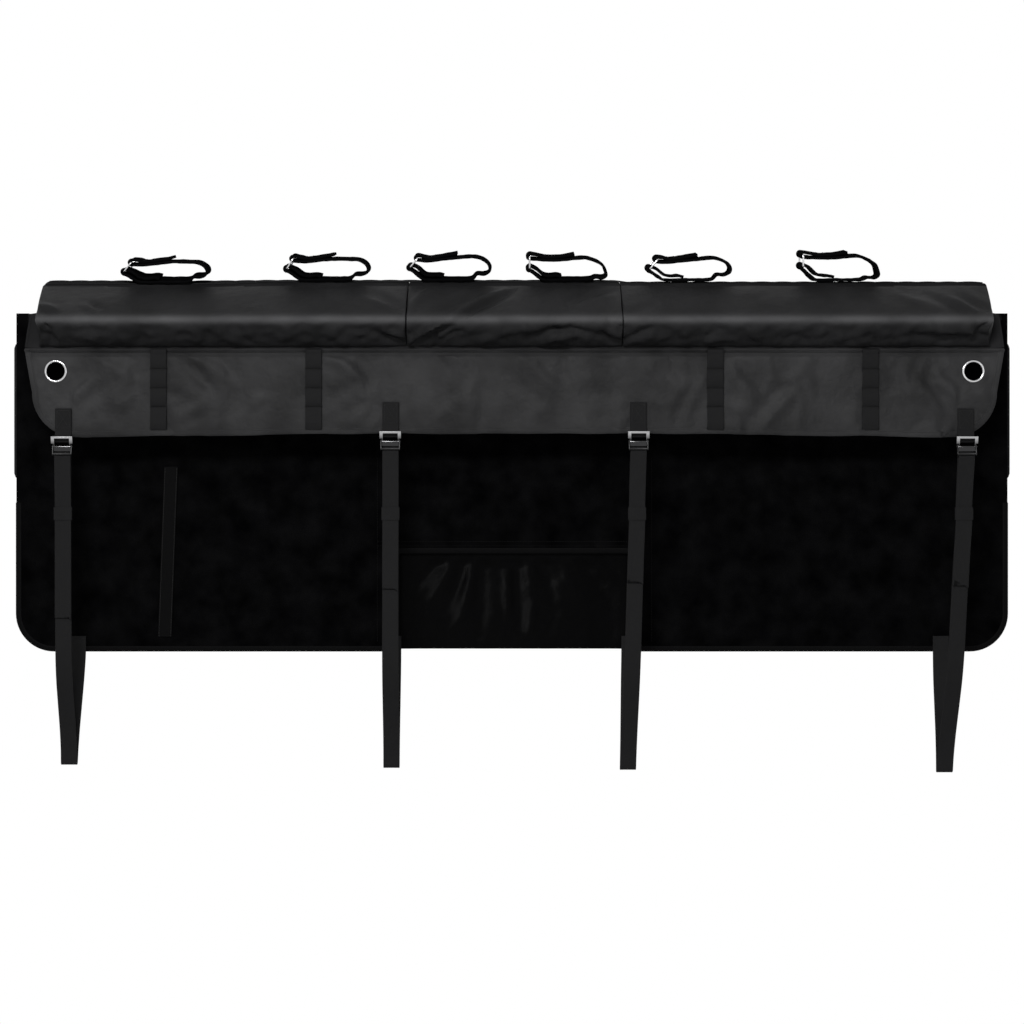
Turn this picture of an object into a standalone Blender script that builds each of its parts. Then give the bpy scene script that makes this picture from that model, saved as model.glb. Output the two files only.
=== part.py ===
"""Tailgate bike pad: a padded cover that hangs over the top of a pickup's tailgate.

Metres. +X is to the right, +Y points away from the truck bed and +Z is up. The origin is
on the underside of the saddle, midway along it, where the top of the tailgate bears.
"""

import math

import bmesh
import bpy
from mathutils import Vector

# The gap between pieces that touch.
GAP = 0.0003

# The room that the tailgate takes, between the two linings.
TAILGATE_T = 0.066

# Half the width of the long outer panel, from which the other widths follow.
PANEL_HALF = 0.788

# Saddle over the tailgate's top edge, with a skirt on the bed side.
SADDLE_HALF = PANEL_HALF - 0.015
SADDLE_T = 0.008
SADDLE_EDGE = 0.0048
SKIRT_T = 0.003
SKIRT_H = 0.047
SKIRT_HALF = PANEL_HALF - 0.026
SKIRT_LEAN = 0.008

# Foam pods that make the ridge. The crest slopes up to the rear. Its front edge dips on the
# left pod, and its rear edge sinks on the right one.
RIDGE_HALF = PANEL_HALF - 0.041
MIDDLE_POD = 0.332
GROOVE = 0.003
CREST_FRONT_Z = 0.0597
CREST_REAR_Z = 0.0685
CREST_DIP = 0.0040
CREST_DIP_FROM = -0.502 * RIDGE_HALF
CREST_DIP_TO = -0.636 * RIDGE_HALF
CREST_SINK = 0.0034
CREST_SINK_REACH = 0.017
CREST_Y = 0.040
CREST_FLAT = 0.040
POD_BACK = 0.009
CREASE_Y = -0.0725
CREASE_Z = -0.008
LOWER_BELLY = 0.005
UPPER_CROWN = 0.006
POD_END_R = 0.009
GROOVE_R = 0.008
POD_STEP = 0.036
POD_FOLD = 0.0022
GROOVE_PULL = 0.005
GROOVE_REACH = 0.060

# Wrinkles in the pods' cover: the length of each wave along X and Z, its phase and its share.
POD_WAVES = ((0.108, 0.157, 0.0, 0.6), (0.065, -0.114, 1.3, 0.4))
TOP_FOLD_SHARE = 0.35

# Flap on the bed side.
FLAP_T = 0.003
FLAP_HALF_TOP = SKIRT_HALF
FLAP_HALF_LOW = FLAP_HALF_TOP - 0.012
FLAP_BOTTOM = -0.178
FLAP_DROP = 0.007
FLAP_CORNER_R = 0.070
FLAP_COLUMN_W = 0.050
FLAP_CORNER_REACH = 0.125
FLAP_WAVE = 0.0035
FLAP_WAVE_LONG = 0.310
FLAP_WAVE_SHORT = 0.170
FLAP_WAVE_PHASE = 0.7
FLAP_WAVE_SHARE = 0.6
FLAP_WAVE_SLANT = 9.0
FLAP_WAVE_FADE = 0.09
FLAT_ROUND_FITTING = 0.024
FLAT_FADE = 0.050

# Edge binding, a tape folded over the edge.
BINDING_T = 0.0008
BINDING_W = 0.008

# Eyelets in the flap.
GROMMET_X = FLAP_HALF_TOP - 0.0484
GROMMET_Z = -0.083
GROMMET_HOLE_R = 0.014
GROMMET_FLANGE_R = 0.01775
GROMMET_BARREL_T = 0.0012
GROMMET_ROLL = 0.0021
GROMMET_REAR_T = 0.0008
GROMMET_SIDES = 20
CUTTER_REACH = 0.010

# Webbing of the loops on the flap, the buckle tabs and the tie straps.
WEBBING_W = 0.0254
WEBBING_T = 0.0014
DAISY_OUTER = 0.7266 * FLAP_HALF_TOP
DAISY_INNER = 0.4100 * FLAP_HALF_TOP
DAISY_X = (-DAISY_OUTER, -DAISY_INNER, DAISY_INNER, DAISY_OUTER)
DAISY_TOP = -0.0475
DAISY_BOTTOM = -0.174
DAISY_TACKS = (-0.079, -0.109, -0.138)
DAISY_BULGE = 0.0028
DAISY_STEPS = (0.0, 0.12, 0.35, 0.65, 0.88)
DAISY_ROUND = 0.7
DAISY_RAMP_TOP = 0.022
DAISY_RAMP = 0.008

# Notch at the panel's foot, for the tailgate's handle, and the thin flap that closes it.
NOTCH_HALF = 0.184
NOTCH_TOP = -0.367
ACCESS_LAP = 0.034
ACCESS_HALF = NOTCH_HALF + ACCESS_LAP
ACCESS_TOP = -0.346
ACCESS_BOTTOM = -0.520
ACCESS_T = 0.0015
ACCESS_FOLD = 0.0045
ACCESS_FOLD_SHARE = 0.45
ACCESS_FOLD_FROM = 0.006
ACCESS_FOLD_FADE = 0.050
ACCESS_SIDE_FADE = 0.030
ACCESS_HEM_STEP = 0.0004
FAN_WIDTH = 0.0075
FAN_SPREAD = 0.0625

# Tie straps and their buckles, by the place of each along the pad.
BUCKLE_OUTER = FLAP_HALF_LOW - 0.0485
BUCKLE_INNER = NOTCH_HALF + 0.0085
BUCKLE_X = (-BUCKLE_OUTER, -BUCKLE_INNER, BUCKLE_INNER, BUCKLE_OUTER)
BUCKLE_PIN_Z = (-0.201, -0.193, -0.193, -0.201)
TAIL_END_Z = (-0.470, -0.425, -0.415, -0.420)
TAB_LENGTH = 0.062
TAB_JOIN = 0.012
TAB_PINCH = 0.0004
TAB_TURN = 165
STRAP_BOTTOM = (-0.699, -0.704, -0.707, -0.711)
STRAP_SEWN = 0.024
FOOT_LEAN = (0.001, -0.001, -0.014, -0.025)
SEWN_LEAN = (0.008, 0.000, -0.010, -0.024)
LEAN_FROM = 0.040
STRAP_FOLD_R = 0.0032
SWEEP_STEPS = (0.22, 0.45, 0.68, 0.86)
SWEEP_END = 0.95
TAIL_SLANT = 0.016
TAIL_STAND = 0.0018
TAIL_BEND = 0.050
TAIL_DROP = 0.008
KEEPER_Z = -0.3045
KEEPER_H = 0.020
KEEPER_T = 0.0010
KEEPER_REACH = 0.014

# Cam buckle. Places are (y, z) from the pin, with -y toward the user.
CHEEK_T = 0.0015
CHEEK_INSIDE = 0.0135
CHEEK_ROUNDS = (0.0032, 0.0023, 0.0026, 0.0024)
TOP_BAR = (0.0040, 0.0095)
ANVIL = (0.0022, -0.0080)
LOWER_BAR = (-0.0034, -0.0110)
BAR_R = 0.0016
PIN_R = 0.0016
PIN_HEAD_R = 0.0024
PIN_HEAD_T = 0.0008
CAM_HALF = 0.0130
CAM_R = 0.0031
NOSE_R = 0.0010
NOSE_ANGLE = 158
NOSE_ROOT = 0.8
ARM_ROOT = 0.7
WINDOW_FOOT = 0.22
THUMB_HALF = 0.0165
THUMB_FOOT = (-0.0048, 0.0056)
THUMB_TOP = (-0.0066, 0.0151)
THUMB_PLATE_R = 0.0007
THUMB_ROLL_R = 0.0011
THUMB_SIDE_W = 0.0050

# Long panel on the outer side of the tailgate.
PANEL_TOP = 0.006
SHOULDER_RISE = 0.0075
PANEL_BOTTOM = -0.523
PANEL_T = 0.016
PANEL_RIM_T = 0.006
PANEL_CORNER_R = 0.060
PANEL_CROWN_REACH = 0.055
PANEL_CORNER_STEPS = (28, 52, 74, 90)
PANEL_CORNER_SPREAD = 0.230
PANEL_FLAT_RIM = 0.012
PANEL_LAP = 0.006
FIELD_FADE_FROM = 0.004
FIELD_FADE = 0.030
HOOK_W = 0.020
HOOK_T = 0.0009
HOOK_TOP = -0.392
HOOK_MARGIN = 0.002
SEAM_TAPE_X = -0.699 * PANEL_HALF
SEAM_TAPE_TOP = -0.230
SEAM_TAPE_BOTTOM = -0.508
SEAM_TAPE_W = 0.022
SEAM_TAPE_T = 0.0010
SEAM_TAPE_LEAN = 0.010

# Padded bolster on the panel's outer face.
BOLSTER_HALF = PANEL_HALF + 0.0075
BOLSTER_TOP = -0.028
BOLSTER_BOTTOM = -0.253
BOLSTER_T = 0.026
BOLSTER_RIM_T = 0.008
BOLSTER_CHANNELS = (-0.103, -0.178)
BOLSTER_CHANNEL_DEPTH = 0.008
BOLSTER_CORNER_R = 0.014
BOLSTER_ROUND_END = 0.050
BOLSTER_STEPS = (0.0, 0.14, 0.38, 0.62, 0.86)

# Rail of webbing along the crest.
RAIL_HALF = RIDGE_HALF - 0.004
RAIL_PITCH = 0.033
RAIL_ARCH = 0.0022
RAIL_GAP = 0.0006

# Cradle straps on the crest: the place of each as a share of the ridge, its length and height.
CRADLE_SHARE = (-0.7416, -0.3989, -0.1393, 0.1098, 0.3695, 0.6881)
CRADLE_LENGTH = (0.139, 0.137, 0.135, 0.129, 0.137, 0.128)
CRADLE_HEIGHT = (0.0395, 0.0415, 0.0440, 0.0415, 0.0430, 0.0460)
CRADLE_W = 0.038
CRADLE_T = 0.0026
CRADLE_RIPPLE = 0.0012
RING_WIRE_R = 0.0014
RING_CORNER_R = 0.0028
RING_H = 0.019
RING_IN = 0.0065

# Places worked out from the values above.
BED_FACE = -TAILGATE_T / 2
FLAP_FRONT = BED_FACE - FLAP_T
POD_CORNER = (BED_FACE - SKIRT_T - GAP, SADDLE_T + GAP)
LINING = TAILGATE_T / 2 + GAP
PANEL_BACK = LINING + PANEL_T
RIM_BACK = LINING + PANEL_RIM_T
BINDING_OUT = GAP + BINDING_T
FLAP_BOUND_FRONT = FLAP_FRONT - BINDING_OUT
WRAP_R = BAR_R + GAP + WEBBING_T / 2
BORE_R = PIN_R + GAP
TAB_BACK_Y = FLAP_BOUND_FRONT - GAP - WEBBING_T / 2
TAB_FRONT_Y = TAB_BACK_Y - WEBBING_T - GAP
PIN_Y = TAB_BACK_Y - WRAP_R - TOP_BAR[0]
STRAP_LOAD_Y = PIN_Y + ANVIL[0] + WRAP_R
STRAP_TAIL_Y = PIN_Y + ANVIL[0] - WRAP_R
STRAP_KEPT_Y = STRAP_LOAD_Y - WEBBING_T - 0.0005
RAIL_STAND = RAIL_GAP + WEBBING_T / 2
CRADLE_STAND = RAIL_GAP + GAP + WEBBING_T + RAIL_ARCH + CRADLE_T / 2
RING_FOLD_R = RING_WIRE_R + GAP + CRADLE_T / 2


def clear_scene():
    for obj in list(bpy.data.objects):
        bpy.data.objects.remove(obj)


def material(name, colour, roughness, metallic=0.0):
    mat = bpy.data.materials.new(name)
    mat.use_nodes = True
    shader = mat.node_tree.nodes["Principled BSDF"]
    shader.inputs["Base Color"].default_value = (*colour, 1.0)
    shader.inputs["Roughness"].default_value = roughness
    shader.inputs["Metallic"].default_value = metallic
    mat.diffuse_color = (*colour, 1.0)
    return mat


def smooth_step(t):
    """Rises from 0 to 1 between t = 0 and t = 1, level at both ends."""
    t = min(max(t, 0.0), 1.0)
    return t * t * (3 - 2 * t)


def between(a, b, steps):
    """Evenly spaced values from a to b, both included."""
    return [a + (b - a) * i / steps for i in range(steps + 1)]


def arc(centre, radius, start, end, steps):
    """Points of an arc about centre, with its angles in degrees."""
    return [
        (centre[0] + radius * math.cos(t), centre[1] + radius * math.sin(t))
        for t in (math.radians(a) for a in between(start, end, steps))
    ]


def add_object(name, bm, mat, crease_degrees=35):
    """Turns a bmesh into a shaded object with its faces pointing out."""
    bmesh.ops.delete(bm, geom=[v for v in bm.verts if not v.link_faces], context="VERTS")
    bmesh.ops.recalc_face_normals(bm, faces=bm.faces)
    mesh = bpy.data.meshes.new(name)
    bm.to_mesh(mesh)
    bm.free()
    mesh.materials.append(mat)
    mesh.shade_smooth()
    mesh.set_sharp_from_angle(angle=math.radians(crease_degrees))
    obj = bpy.data.objects.new(name, mesh)
    bpy.context.collection.objects.link(obj)
    return obj


def copy_object(obj, name):
    """Another object with the same mesh."""
    twin = bpy.data.objects.new(name, obj.data)
    bpy.context.collection.objects.link(twin)
    return twin


def loft(rings):
    """A closed body through rings of points, each ring closed and the ends capped."""
    bm = bmesh.new()
    rows = [[bm.verts.new(p) for p in ring] for ring in rings]
    for low, high in zip(rows, rows[1:]):
        for i in range(len(low)):
            j = (i + 1) % len(low)
            bm.faces.new((low[i], low[j], high[j], high[i]))
    bm.faces.new(rows[0])
    bm.faces.new(rows[-1][::-1])
    return bm


def slab(us, vs, front, back, keep=None):
    """A closed sheet over a grid of u and v. Front and back give its two faces."""
    bm = bmesh.new()
    rows = [[(bm.verts.new(front(u, v)), bm.verts.new(back(u, v))) for u in us] for v in vs]
    cells = {
        (i, j)
        for i in range(len(us) - 1)
        for j in range(len(vs) - 1)
        if keep is None or keep((us[i] + us[i + 1]) / 2, (vs[j] + vs[j + 1]) / 2)
    }
    for i, j in sorted(cells):
        corners = (rows[j][i], rows[j][i + 1], rows[j + 1][i + 1], rows[j + 1][i])
        bm.faces.new([c[0] for c in corners])
        bm.faces.new([c[1] for c in reversed(corners)])
        beside = ((i, j - 1), (i + 1, j), (i, j + 1), (i - 1, j))
        for k, cell in enumerate(beside):
            if cell not in cells:
                a, b = corners[k], corners[(k + 1) % 4]
                bm.faces.new((b[0], a[0], a[1], b[1]))
    return bm


def mitred(path, across):
    """The thickness direction at each point of a path, lengthened where the path bends."""
    legs = [(b - a).normalized() for a, b in zip(path, path[1:])]
    normals = []
    for i in range(len(path)):
        before, after = legs[max(i - 1, 0)], legs[min(i, len(legs) - 1)]
        along = (before + after).normalized()
        stretch = 1 / max(along.dot(after), 0.6)
        normals.append(across.cross(along).normalized() * stretch)
    return normals


def ribbon(path, across, width, thick, slant=0.0):
    """A flat strap along a path. Across is the direction of its width."""
    path = [Vector(p) for p in path]
    side = Vector(across) * width / 2
    rings = []
    for point, normal in zip(path, mitred(path, Vector(across))):
        out = normal * thick / 2
        low, high = point - out, point + out
        rings.append([low - side, low + side, high + side, high - side])
    if slant:
        end = (path[-1] - path[-2]).normalized() * slant
        for corner in (0, 3):
            rings[-1][corner] = rings[-1][corner] - end
    return loft(rings)


def hull(rings, half_a, half_b):
    """A plate across X, from half_a to half_b, round the outer shape of (y, z) points."""
    bm = bmesh.new()
    for x in (half_a, half_b):
        for y, z in rings:
            bm.verts.new((x, y, z))
    bmesh.ops.convex_hull(bm, input=bm.verts)
    bmesh.ops.dissolve_limit(bm, angle_limit=math.radians(1), verts=bm.verts, edges=bm.edges)
    return bm


def disc(centre, radius, sides=10):
    """Points round a circle."""
    return arc(centre, radius, 0, 360 * (sides - 1) / sides, sides - 1)


def prism(outline, x0, x1):
    """An outline of (y, z) points carried along X."""
    return loft([[(x, y, z) for y, z in outline] for x in (x0, x1)])


def combine(obj, others, operation):
    """Joins the others to the object, or cuts them from it, and removes them."""
    for other in others:
        step = obj.modifiers.new(operation.title(), "BOOLEAN")
        step.operation = operation
        step.object = other
    graph = bpy.context.evaluated_depsgraph_get()
    mesh = bpy.data.meshes.new_from_object(obj.evaluated_get(graph))
    obj.modifiers.clear()
    obj.data = mesh
    for other in others:
        bpy.data.objects.remove(other)


def cutter(bm, mat):
    """A helper body that a Boolean uses."""
    obj = add_object("cutter", bm, mat)
    obj.hide_render = True
    obj.display_type = "WIRE"
    return obj


def saddle_panel(mat):
    """The padded strip that lies on the tailgate's top edge, with its bed side skirt."""
    rear = TAILGATE_T / 2
    front = BED_FACE - SKIRT_T
    outline = [
        (rear, 0.0, SADDLE_HALF),
        (BED_FACE, 0.0, SADDLE_HALF),
        (BED_FACE, -SKIRT_H, SKIRT_HALF),
        (front, -SKIRT_H, SKIRT_HALF),
        (front, SADDLE_EDGE, SKIRT_HALF - SKIRT_LEAN),
        (front + SKIRT_T, SADDLE_T, SADDLE_HALF),
        (rear, SADDLE_T, SADDLE_HALF),
    ]
    rings = [[(side * half, y, z) for y, z, half in outline] for side in (-1, -0.5, 0, 0.5, 1)]
    add_object("saddle_panel", loft(rings), mat)


def bowed(a, b, bulge, steps):
    """Points from a to b, without b, bowed out by bulge at the middle."""
    dy, dz = b[0] - a[0], b[1] - a[1]
    long = math.hypot(dy, dz)
    points = []
    for i in range(steps):
        t = i / steps
        out = bulge * math.sin(math.pi * t)
        points.append((a[0] + dy * t - dz / long * out, a[1] + dz * t + dy / long * out))
    return points


def crest_edges(x):
    """The heights of the crest's front and rear edges at a place along the ridge."""
    dip = smooth_step((CREST_DIP_FROM - x) / (CREST_DIP_FROM - CREST_DIP_TO))
    sink = smooth_step((x - MIDDLE_POD / 2 + CREST_SINK_REACH) / (2 * CREST_SINK_REACH))
    return CREST_FRONT_Z - CREST_DIP * dip, CREST_REAR_Z - CREST_SINK * sink


def crest_frame(x):
    """The middle of the crest at x, with the directions across it and out of it."""
    front, rear = crest_edges(x)
    across = Vector((0, CREST_FLAT, rear - front)).normalized()
    return Vector((x, CREST_Y, (front + rear) / 2)), across, Vector((1, 0, 0)).cross(across)


def pod_section(x):
    """A pod's outline across the ridge: points (y, z), and how freely each one folds."""
    corner = POD_CORNER
    seam = (corner[0], -SKIRT_H)
    crease = (CREASE_Y, CREASE_Z)
    front_z, rear_z = crest_edges(x)
    front = (CREST_Y - CREST_FLAT / 2, front_z)
    rear = (CREST_Y + CREST_FLAT / 2, rear_z)
    heel = (rear[0] + POD_BACK * 0.7, corner[1])
    lower = bowed(seam, crease, LOWER_BELLY, 5)
    upper = bowed(crease, front, UPPER_CROWN, 6)
    top = [front, (CREST_Y, (front_z + rear_z) / 2), rear]
    back = [(rear[0] + POD_BACK * 0.7, rear_z - POD_BACK * 0.4)]
    back.append((rear[0] + POD_BACK, (rear_z + heel[1]) / 2))
    section = [(p, 0.0) for p in [corner, (corner[0], (corner[1] - SKIRT_H) / 2)]]
    section += [(p, 0.0 if i == 0 else 1.0) for i, p in enumerate(lower)]
    section += [(p, 0.5 if i == 0 else 1.0) for i, p in enumerate(upper)]
    section += [(p, 0.0) for p in top] + [(p, 0.5) for p in back]
    section += [(heel, 0.0), ((TAILGATE_T / 2, corner[1]), 0.0), ((0.0, corner[1]), 0.0)]
    return section


def pod_stations(x0, x1, r0, r1):
    """Places along a pod, each with how full its section is there."""
    stations = []
    for angle in (0, 30, 60):
        t = math.radians(angle)
        stations.append((x0 + r0 * (1 - math.cos(t)), math.sin(t), r0))
    steps = round((x1 - r1 - x0 - r0) / POD_STEP)
    stations += [(x, 1.0, r0) for x in between(x0 + r0, x1 - r1, steps)]
    for angle in (60, 30, 0):
        t = math.radians(angle)
        stations.append((x1 - r1 * (1 - math.cos(t)), math.sin(t), r1))
    return stations


def pod_fold(x, z):
    """How far the cover stands out or in, from its wrinkles and the pull at the grooves."""
    wave = 0.0
    for long, tall, phase, share in POD_WAVES:
        wave += share * math.sin(2 * math.pi * (x / long + z / tall) + phase)
    groove = MIDDLE_POD / 2 + GROOVE / 2
    near = math.exp(-abs(abs(x) - groove) / GROOVE_REACH)
    low = smooth_step((CREST_FRONT_Z - z) / (CREST_FRONT_Z + SKIRT_H))
    return POD_FOLD * wave * (TOP_FOLD_SHARE + (1 - TOP_FOLD_SHARE) * low) - GROOVE_PULL * near * low


def pod(name, x0, x1, r0, r1, mat):
    """One foam pod from x0 to x1, with rounded ends of radius r0 and r1."""
    rings = []
    for x, full, radius in pod_stations(x0, x1, r0, r1):
        section = pod_section(x)
        count = len(section)
        ring = []
        for k, ((y, z), free) in enumerate(section):
            a, b = section[k - 1][0], section[(k + 1) % count][0]
            dy, dz = b[0] - a[0], b[1] - a[1]
            out = free * pod_fold(x, z) / math.hypot(dy, dz)
            y, z = y - dz * out, z + dy * out
            height = math.hypot(y - POD_CORNER[0], z - POD_CORNER[1])
            keep = 1 - (1 - full) * radius / max(height, 2 * radius)
            y = POD_CORNER[0] + (y - POD_CORNER[0]) * keep
            z = POD_CORNER[1] + (z - POD_CORNER[1]) * keep
            ring.append((x, y, z))
        rings.append(ring)
    add_object(name, loft(rings), mat, 28)


def pods(mat):
    """The three pods, parted by the two grooves."""
    inner = MIDDLE_POD / 2
    pod("pad_left", -RIDGE_HALF, -inner - GROOVE, POD_END_R, GROOVE_R, mat)
    pod("pad_middle", -inner, inner, GROOVE_R, GROOVE_R, mat)
    pod("pad_right", inner + GROOVE, RIDGE_HALF, GROOVE_R, POD_END_R, mat)


def flap_edge(x):
    """The height of the flap's lower edge."""
    return FLAP_BOTTOM - FLAP_DROP * (x / BUCKLE_X[-1]) ** 2


def flap_face(x, z):
    """The y of the flap's bed side face, level where a fitting is sewn on."""
    fittings = [abs(abs(x) - abs(f)) for f in (*DAISY_X, *BUCKLE_X, GROMMET_X)]
    free = smooth_step((min(fittings) - FLAT_ROUND_FITTING) / FLAT_FADE)
    free *= smooth_step((FLAP_HALF_TOP - FLAP_CORNER_REACH - abs(x)) / FLAT_FADE)
    low = smooth_step((-SKIRT_H - z) / FLAP_WAVE_FADE)
    wave = math.sin(2 * math.pi * x / FLAP_WAVE_LONG + FLAP_WAVE_PHASE)
    turn = 2 * math.pi * x / FLAP_WAVE_SHORT + FLAP_WAVE_SLANT * z
    wave += FLAP_WAVE_SHARE * math.sin(turn)
    return FLAP_FRONT - FLAP_WAVE * free * low * (0.5 + 0.5 * wave)


def flap_place(u, v):
    """The (x, z) of the flap at u across and v down, 0 to 1 and then round the corner."""
    top = -SKIRT_H - GAP
    straight = FLAP_BOTTOM - FLAP_DROP + FLAP_CORNER_R
    if v <= 1:
        z = top + (straight - top) * v
        half = FLAP_HALF_TOP + (FLAP_HALF_LOW - FLAP_HALF_TOP) * v
        inset = 0.0
    else:
        angle = math.radians(90 * (v - 1))
        z = straight - FLAP_CORNER_R * math.sin(angle)
        inset = FLAP_CORNER_R * (1 - math.cos(angle))
        half = FLAP_HALF_LOW - inset
    share = smooth_step((abs(u) - FLAP_HALF_TOP + FLAP_CORNER_REACH) / FLAP_CORNER_REACH)
    x = u - math.copysign((FLAP_HALF_TOP - half) * share, u)
    lift = flap_edge(x) - (FLAP_BOTTOM - FLAP_DROP)
    return x, z + lift * max(0.0, v) / 2


def flap_columns():
    """Places across the flap, with a line on each side of every fitting."""
    lines = {0.0, FLAP_HALF_TOP}
    for x in {abs(f) for f in (*DAISY_X, BUCKLE_X[1])}:
        lines |= {x - FLAT_ROUND_FITTING, x + FLAT_ROUND_FITTING}
    lines |= {BUCKLE_X[-1] - FLAT_ROUND_FITTING, GROMMET_X + FLAT_ROUND_FITTING}
    half = []
    edges = sorted(lines)
    for a, b in zip(edges, edges[1:]):
        half += between(a, b, max(1, round((b - a) / FLAP_COLUMN_W)))[:-1]
    half.append(FLAP_HALF_TOP)
    return [-u for u in reversed(half[1:])] + half


def front_flap(mat):
    """The flap that hangs on the bed side, with a hole for each eyelet."""
    us = flap_columns()
    vs = between(0, 1, 4) + between(1, 2, 4)[1:]

    def front(u, v):
        x, z = flap_place(u, v)
        return x, flap_face(x, z), z

    def back(u, v):
        x, z = flap_place(u, v)
        return x, flap_face(x, z) + FLAP_T, z

    flap = add_object("front_flap", slab(us, vs, front, back), mat)
    radius = GROMMET_HOLE_R + GROMMET_BARREL_T + GAP
    holes = [eyelet_cutter(side * GROMMET_X, radius, mat) for side in (-1, 1)]
    combine(flap, holes, "DIFFERENCE")


def eyelet_cutter(x, radius, mat):
    """A round bar across the flap."""
    rings = []
    for y in (FLAP_FRONT - CUTTER_REACH, FLAP_FRONT + CUTTER_REACH):
        points = arc((x, GROMMET_Z), radius, 0, 360 * (1 - 1 / GROMMET_SIDES), GROMMET_SIDES - 1)
        rings.append([(px, y, pz) for px, pz in points])
    return cutter(loft(rings), mat)


def edge_channel(path, middle_y, rim_t):
    """A tape folded over an edge. Path holds (x, z) points, from the +X side down and across."""
    half = rim_t / 2 + GAP
    out, deep = BINDING_OUT, BINDING_W
    section = [
        (-deep, half + BINDING_T),
        (out, half + BINDING_T),
        (out, -half - BINDING_T),
        (-deep, -half - BINDING_T),
        (-deep, -half),
        (GAP, -half),
        (GAP, half),
        (-deep, half),
    ]
    points = [Vector((x, 0, z)) for x, z in path]
    rings = []
    for point, outward in zip(points, mitred(points, Vector((0, -1, 0)))):
        y = middle_y(point.x, point.z)
        rings.append([point + outward * a + Vector((0, y + b, 0)) for a, b in section])
    return loft(rings)


def flap_binding(mat):
    """The tape round the flap's two sides and lower edge."""
    down = between(0, 1, 4)[1:] + between(1, 2, 4)[1:]
    path = [flap_place(-FLAP_HALF_TOP, v) for v in down]
    path += [flap_place(u, 2) for u in flap_columns()[1:-1]]
    path += [flap_place(FLAP_HALF_TOP, v) for v in reversed(down)]
    bm = edge_channel(path[::-1], lambda x, z: flap_face(x, z) + FLAP_T / 2, FLAP_T)
    add_object("flap_binding", bm, mat)


def grommet(name, x, mat):
    """A metal eyelet: barrel, rolled front flange and flat rear flange."""
    hole, barrel = GROMMET_HOLE_R, GROMMET_HOLE_R + GROMMET_BARREL_T
    half, back = (GROMMET_FLANGE_R - hole) / 2, FLAP_T + GAP
    roll = arc((hole + half, 0), half, 180, 0, 6)
    profile = [(r, -GAP - GROMMET_ROLL * rise / half) for r, rise in roll]
    profile += [(barrel, -GAP), (barrel, back), (hole + 2 * half, back)]
    profile += [(hole + 2 * half, back + GROMMET_REAR_T), (hole, back + GROMMET_REAR_T)]
    rings = []
    for r, y in profile:
        points = arc((x, GROMMET_Z), r, 0, 360 * (1 - 1 / GROMMET_SIDES), GROMMET_SIDES - 1)
        rings.append([(px, FLAP_FRONT + y, pz) for px, pz in points])
    bm = bmesh.new()
    rows = [[bm.verts.new(p) for p in ring] for ring in rings]
    for low, high in zip(rows, rows[1:] + rows[:1]):
        for i in range(GROMMET_SIDES):
            j = (i + 1) % GROMMET_SIDES
            bm.faces.new((low[i], low[j], high[j], high[i]))
    add_object(name, bm, mat, 40)


def daisy_webbing(name, x, mat):
    """A strip of webbing sewn down at its tacks, with a loop standing out between them."""
    tacks = (DAISY_TOP, *DAISY_TACKS, DAISY_BOTTOM)
    path = []
    for top, low in zip(tacks, tacks[1:]):
        for t in DAISY_STEPS:
            bulge = DAISY_BULGE * math.sin(math.pi * t) ** DAISY_ROUND
            path.append((top + (low - top) * t, bulge))
    path.append((DAISY_BOTTOM, 0.0))
    points = []
    for z, bulge in path:
        over_binding = smooth_step((FLAP_BOTTOM + DAISY_RAMP_TOP - z) / DAISY_RAMP)
        stand = GAP + BINDING_OUT * over_binding + bulge
        points.append((x, flap_face(x, z) - stand - WEBBING_T / 2, z))
    add_object(name, ribbon(points, (1, 0, 0), WEBBING_W, WEBBING_T), mat)


def rail_webbing(mat):
    """The webbing along the crest, tacked down at an even pitch with low arches between."""
    count = 2 * round(2 * RAIL_HALF / RAIL_PITCH)
    rings = []
    for i, x in enumerate(between(-RAIL_HALF, RAIL_HALF, count)):
        middle, across, out = crest_frame(x)
        middle += out * (RAIL_STAND + RAIL_ARCH * (i % 2))
        side = across * WEBBING_W / 2
        thick = out * WEBBING_T / 2
        low, high = middle - thick, middle + thick
        rings.append([low - side, low + side, high + side, high - side])
    add_object("rail_webbing", loft(rings), mat)


def cradle_path(length, height):
    """A cradle strap's middle line, as (x, z) from its left end and its foot."""
    fold, layer, ripple = RING_FOLD_R, CRADLE_T + GAP, CRADLE_RIPPLE
    high = height - fold - CRADLE_T / 2
    low = high - RING_H
    top = high - fold
    right = length - CRADLE_T / 2
    path = [(0.44 * length, layer), (0.36 * length, layer + ripple)]
    path += [(0.24 * length, 0.58 * low), (0.13 * length, 1.03 * low)]
    path += arc((RING_IN, low), fold, 80, 280, 6)
    path += [(RING_IN + 0.060 * length, 0.49 * low), (RING_IN + 0.115 * length, 0.17 * low)]
    path += [(RING_IN + 0.178 * length, 0.0), (0.5 * length, 0.0)]
    path += [(right - 0.137 * length, 0.0), (right - 0.058 * length, 0.05 * top)]
    path += [(right - 0.011 * length, 0.19 * top), (right, 0.38 * top)]
    path += [(right - 0.029 * length, 0.58 * top), (right - 0.101 * length, 0.87 * top)]
    path += [(right - 0.201 * length, top), (0.58 * length, top + ripple)]
    path += [(0.45 * length, top), (0.25 * length, top - 0.7 * ripple)]
    path += arc((RING_IN, high), fold, 275, 80, 6)
    tail = top + layer + ripple
    path += [(0.14 * length, high + fold - ripple), (0.25 * length, tail), (0.45 * length, tail)]
    return path + [(0.55 * length, tail + ripple), (0.60 * length, tail + 3 * ripple)]


def cradle_place(i):
    """The foot of cradle i at its left end, and the directions across and out of the crest."""
    middle, across, out = crest_frame(CRADLE_SHARE[i] * RIDGE_HALF)
    left = Vector((CRADLE_LENGTH[i] / 2, 0, 0))
    return middle + out * CRADLE_STAND - left, across, out


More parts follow.
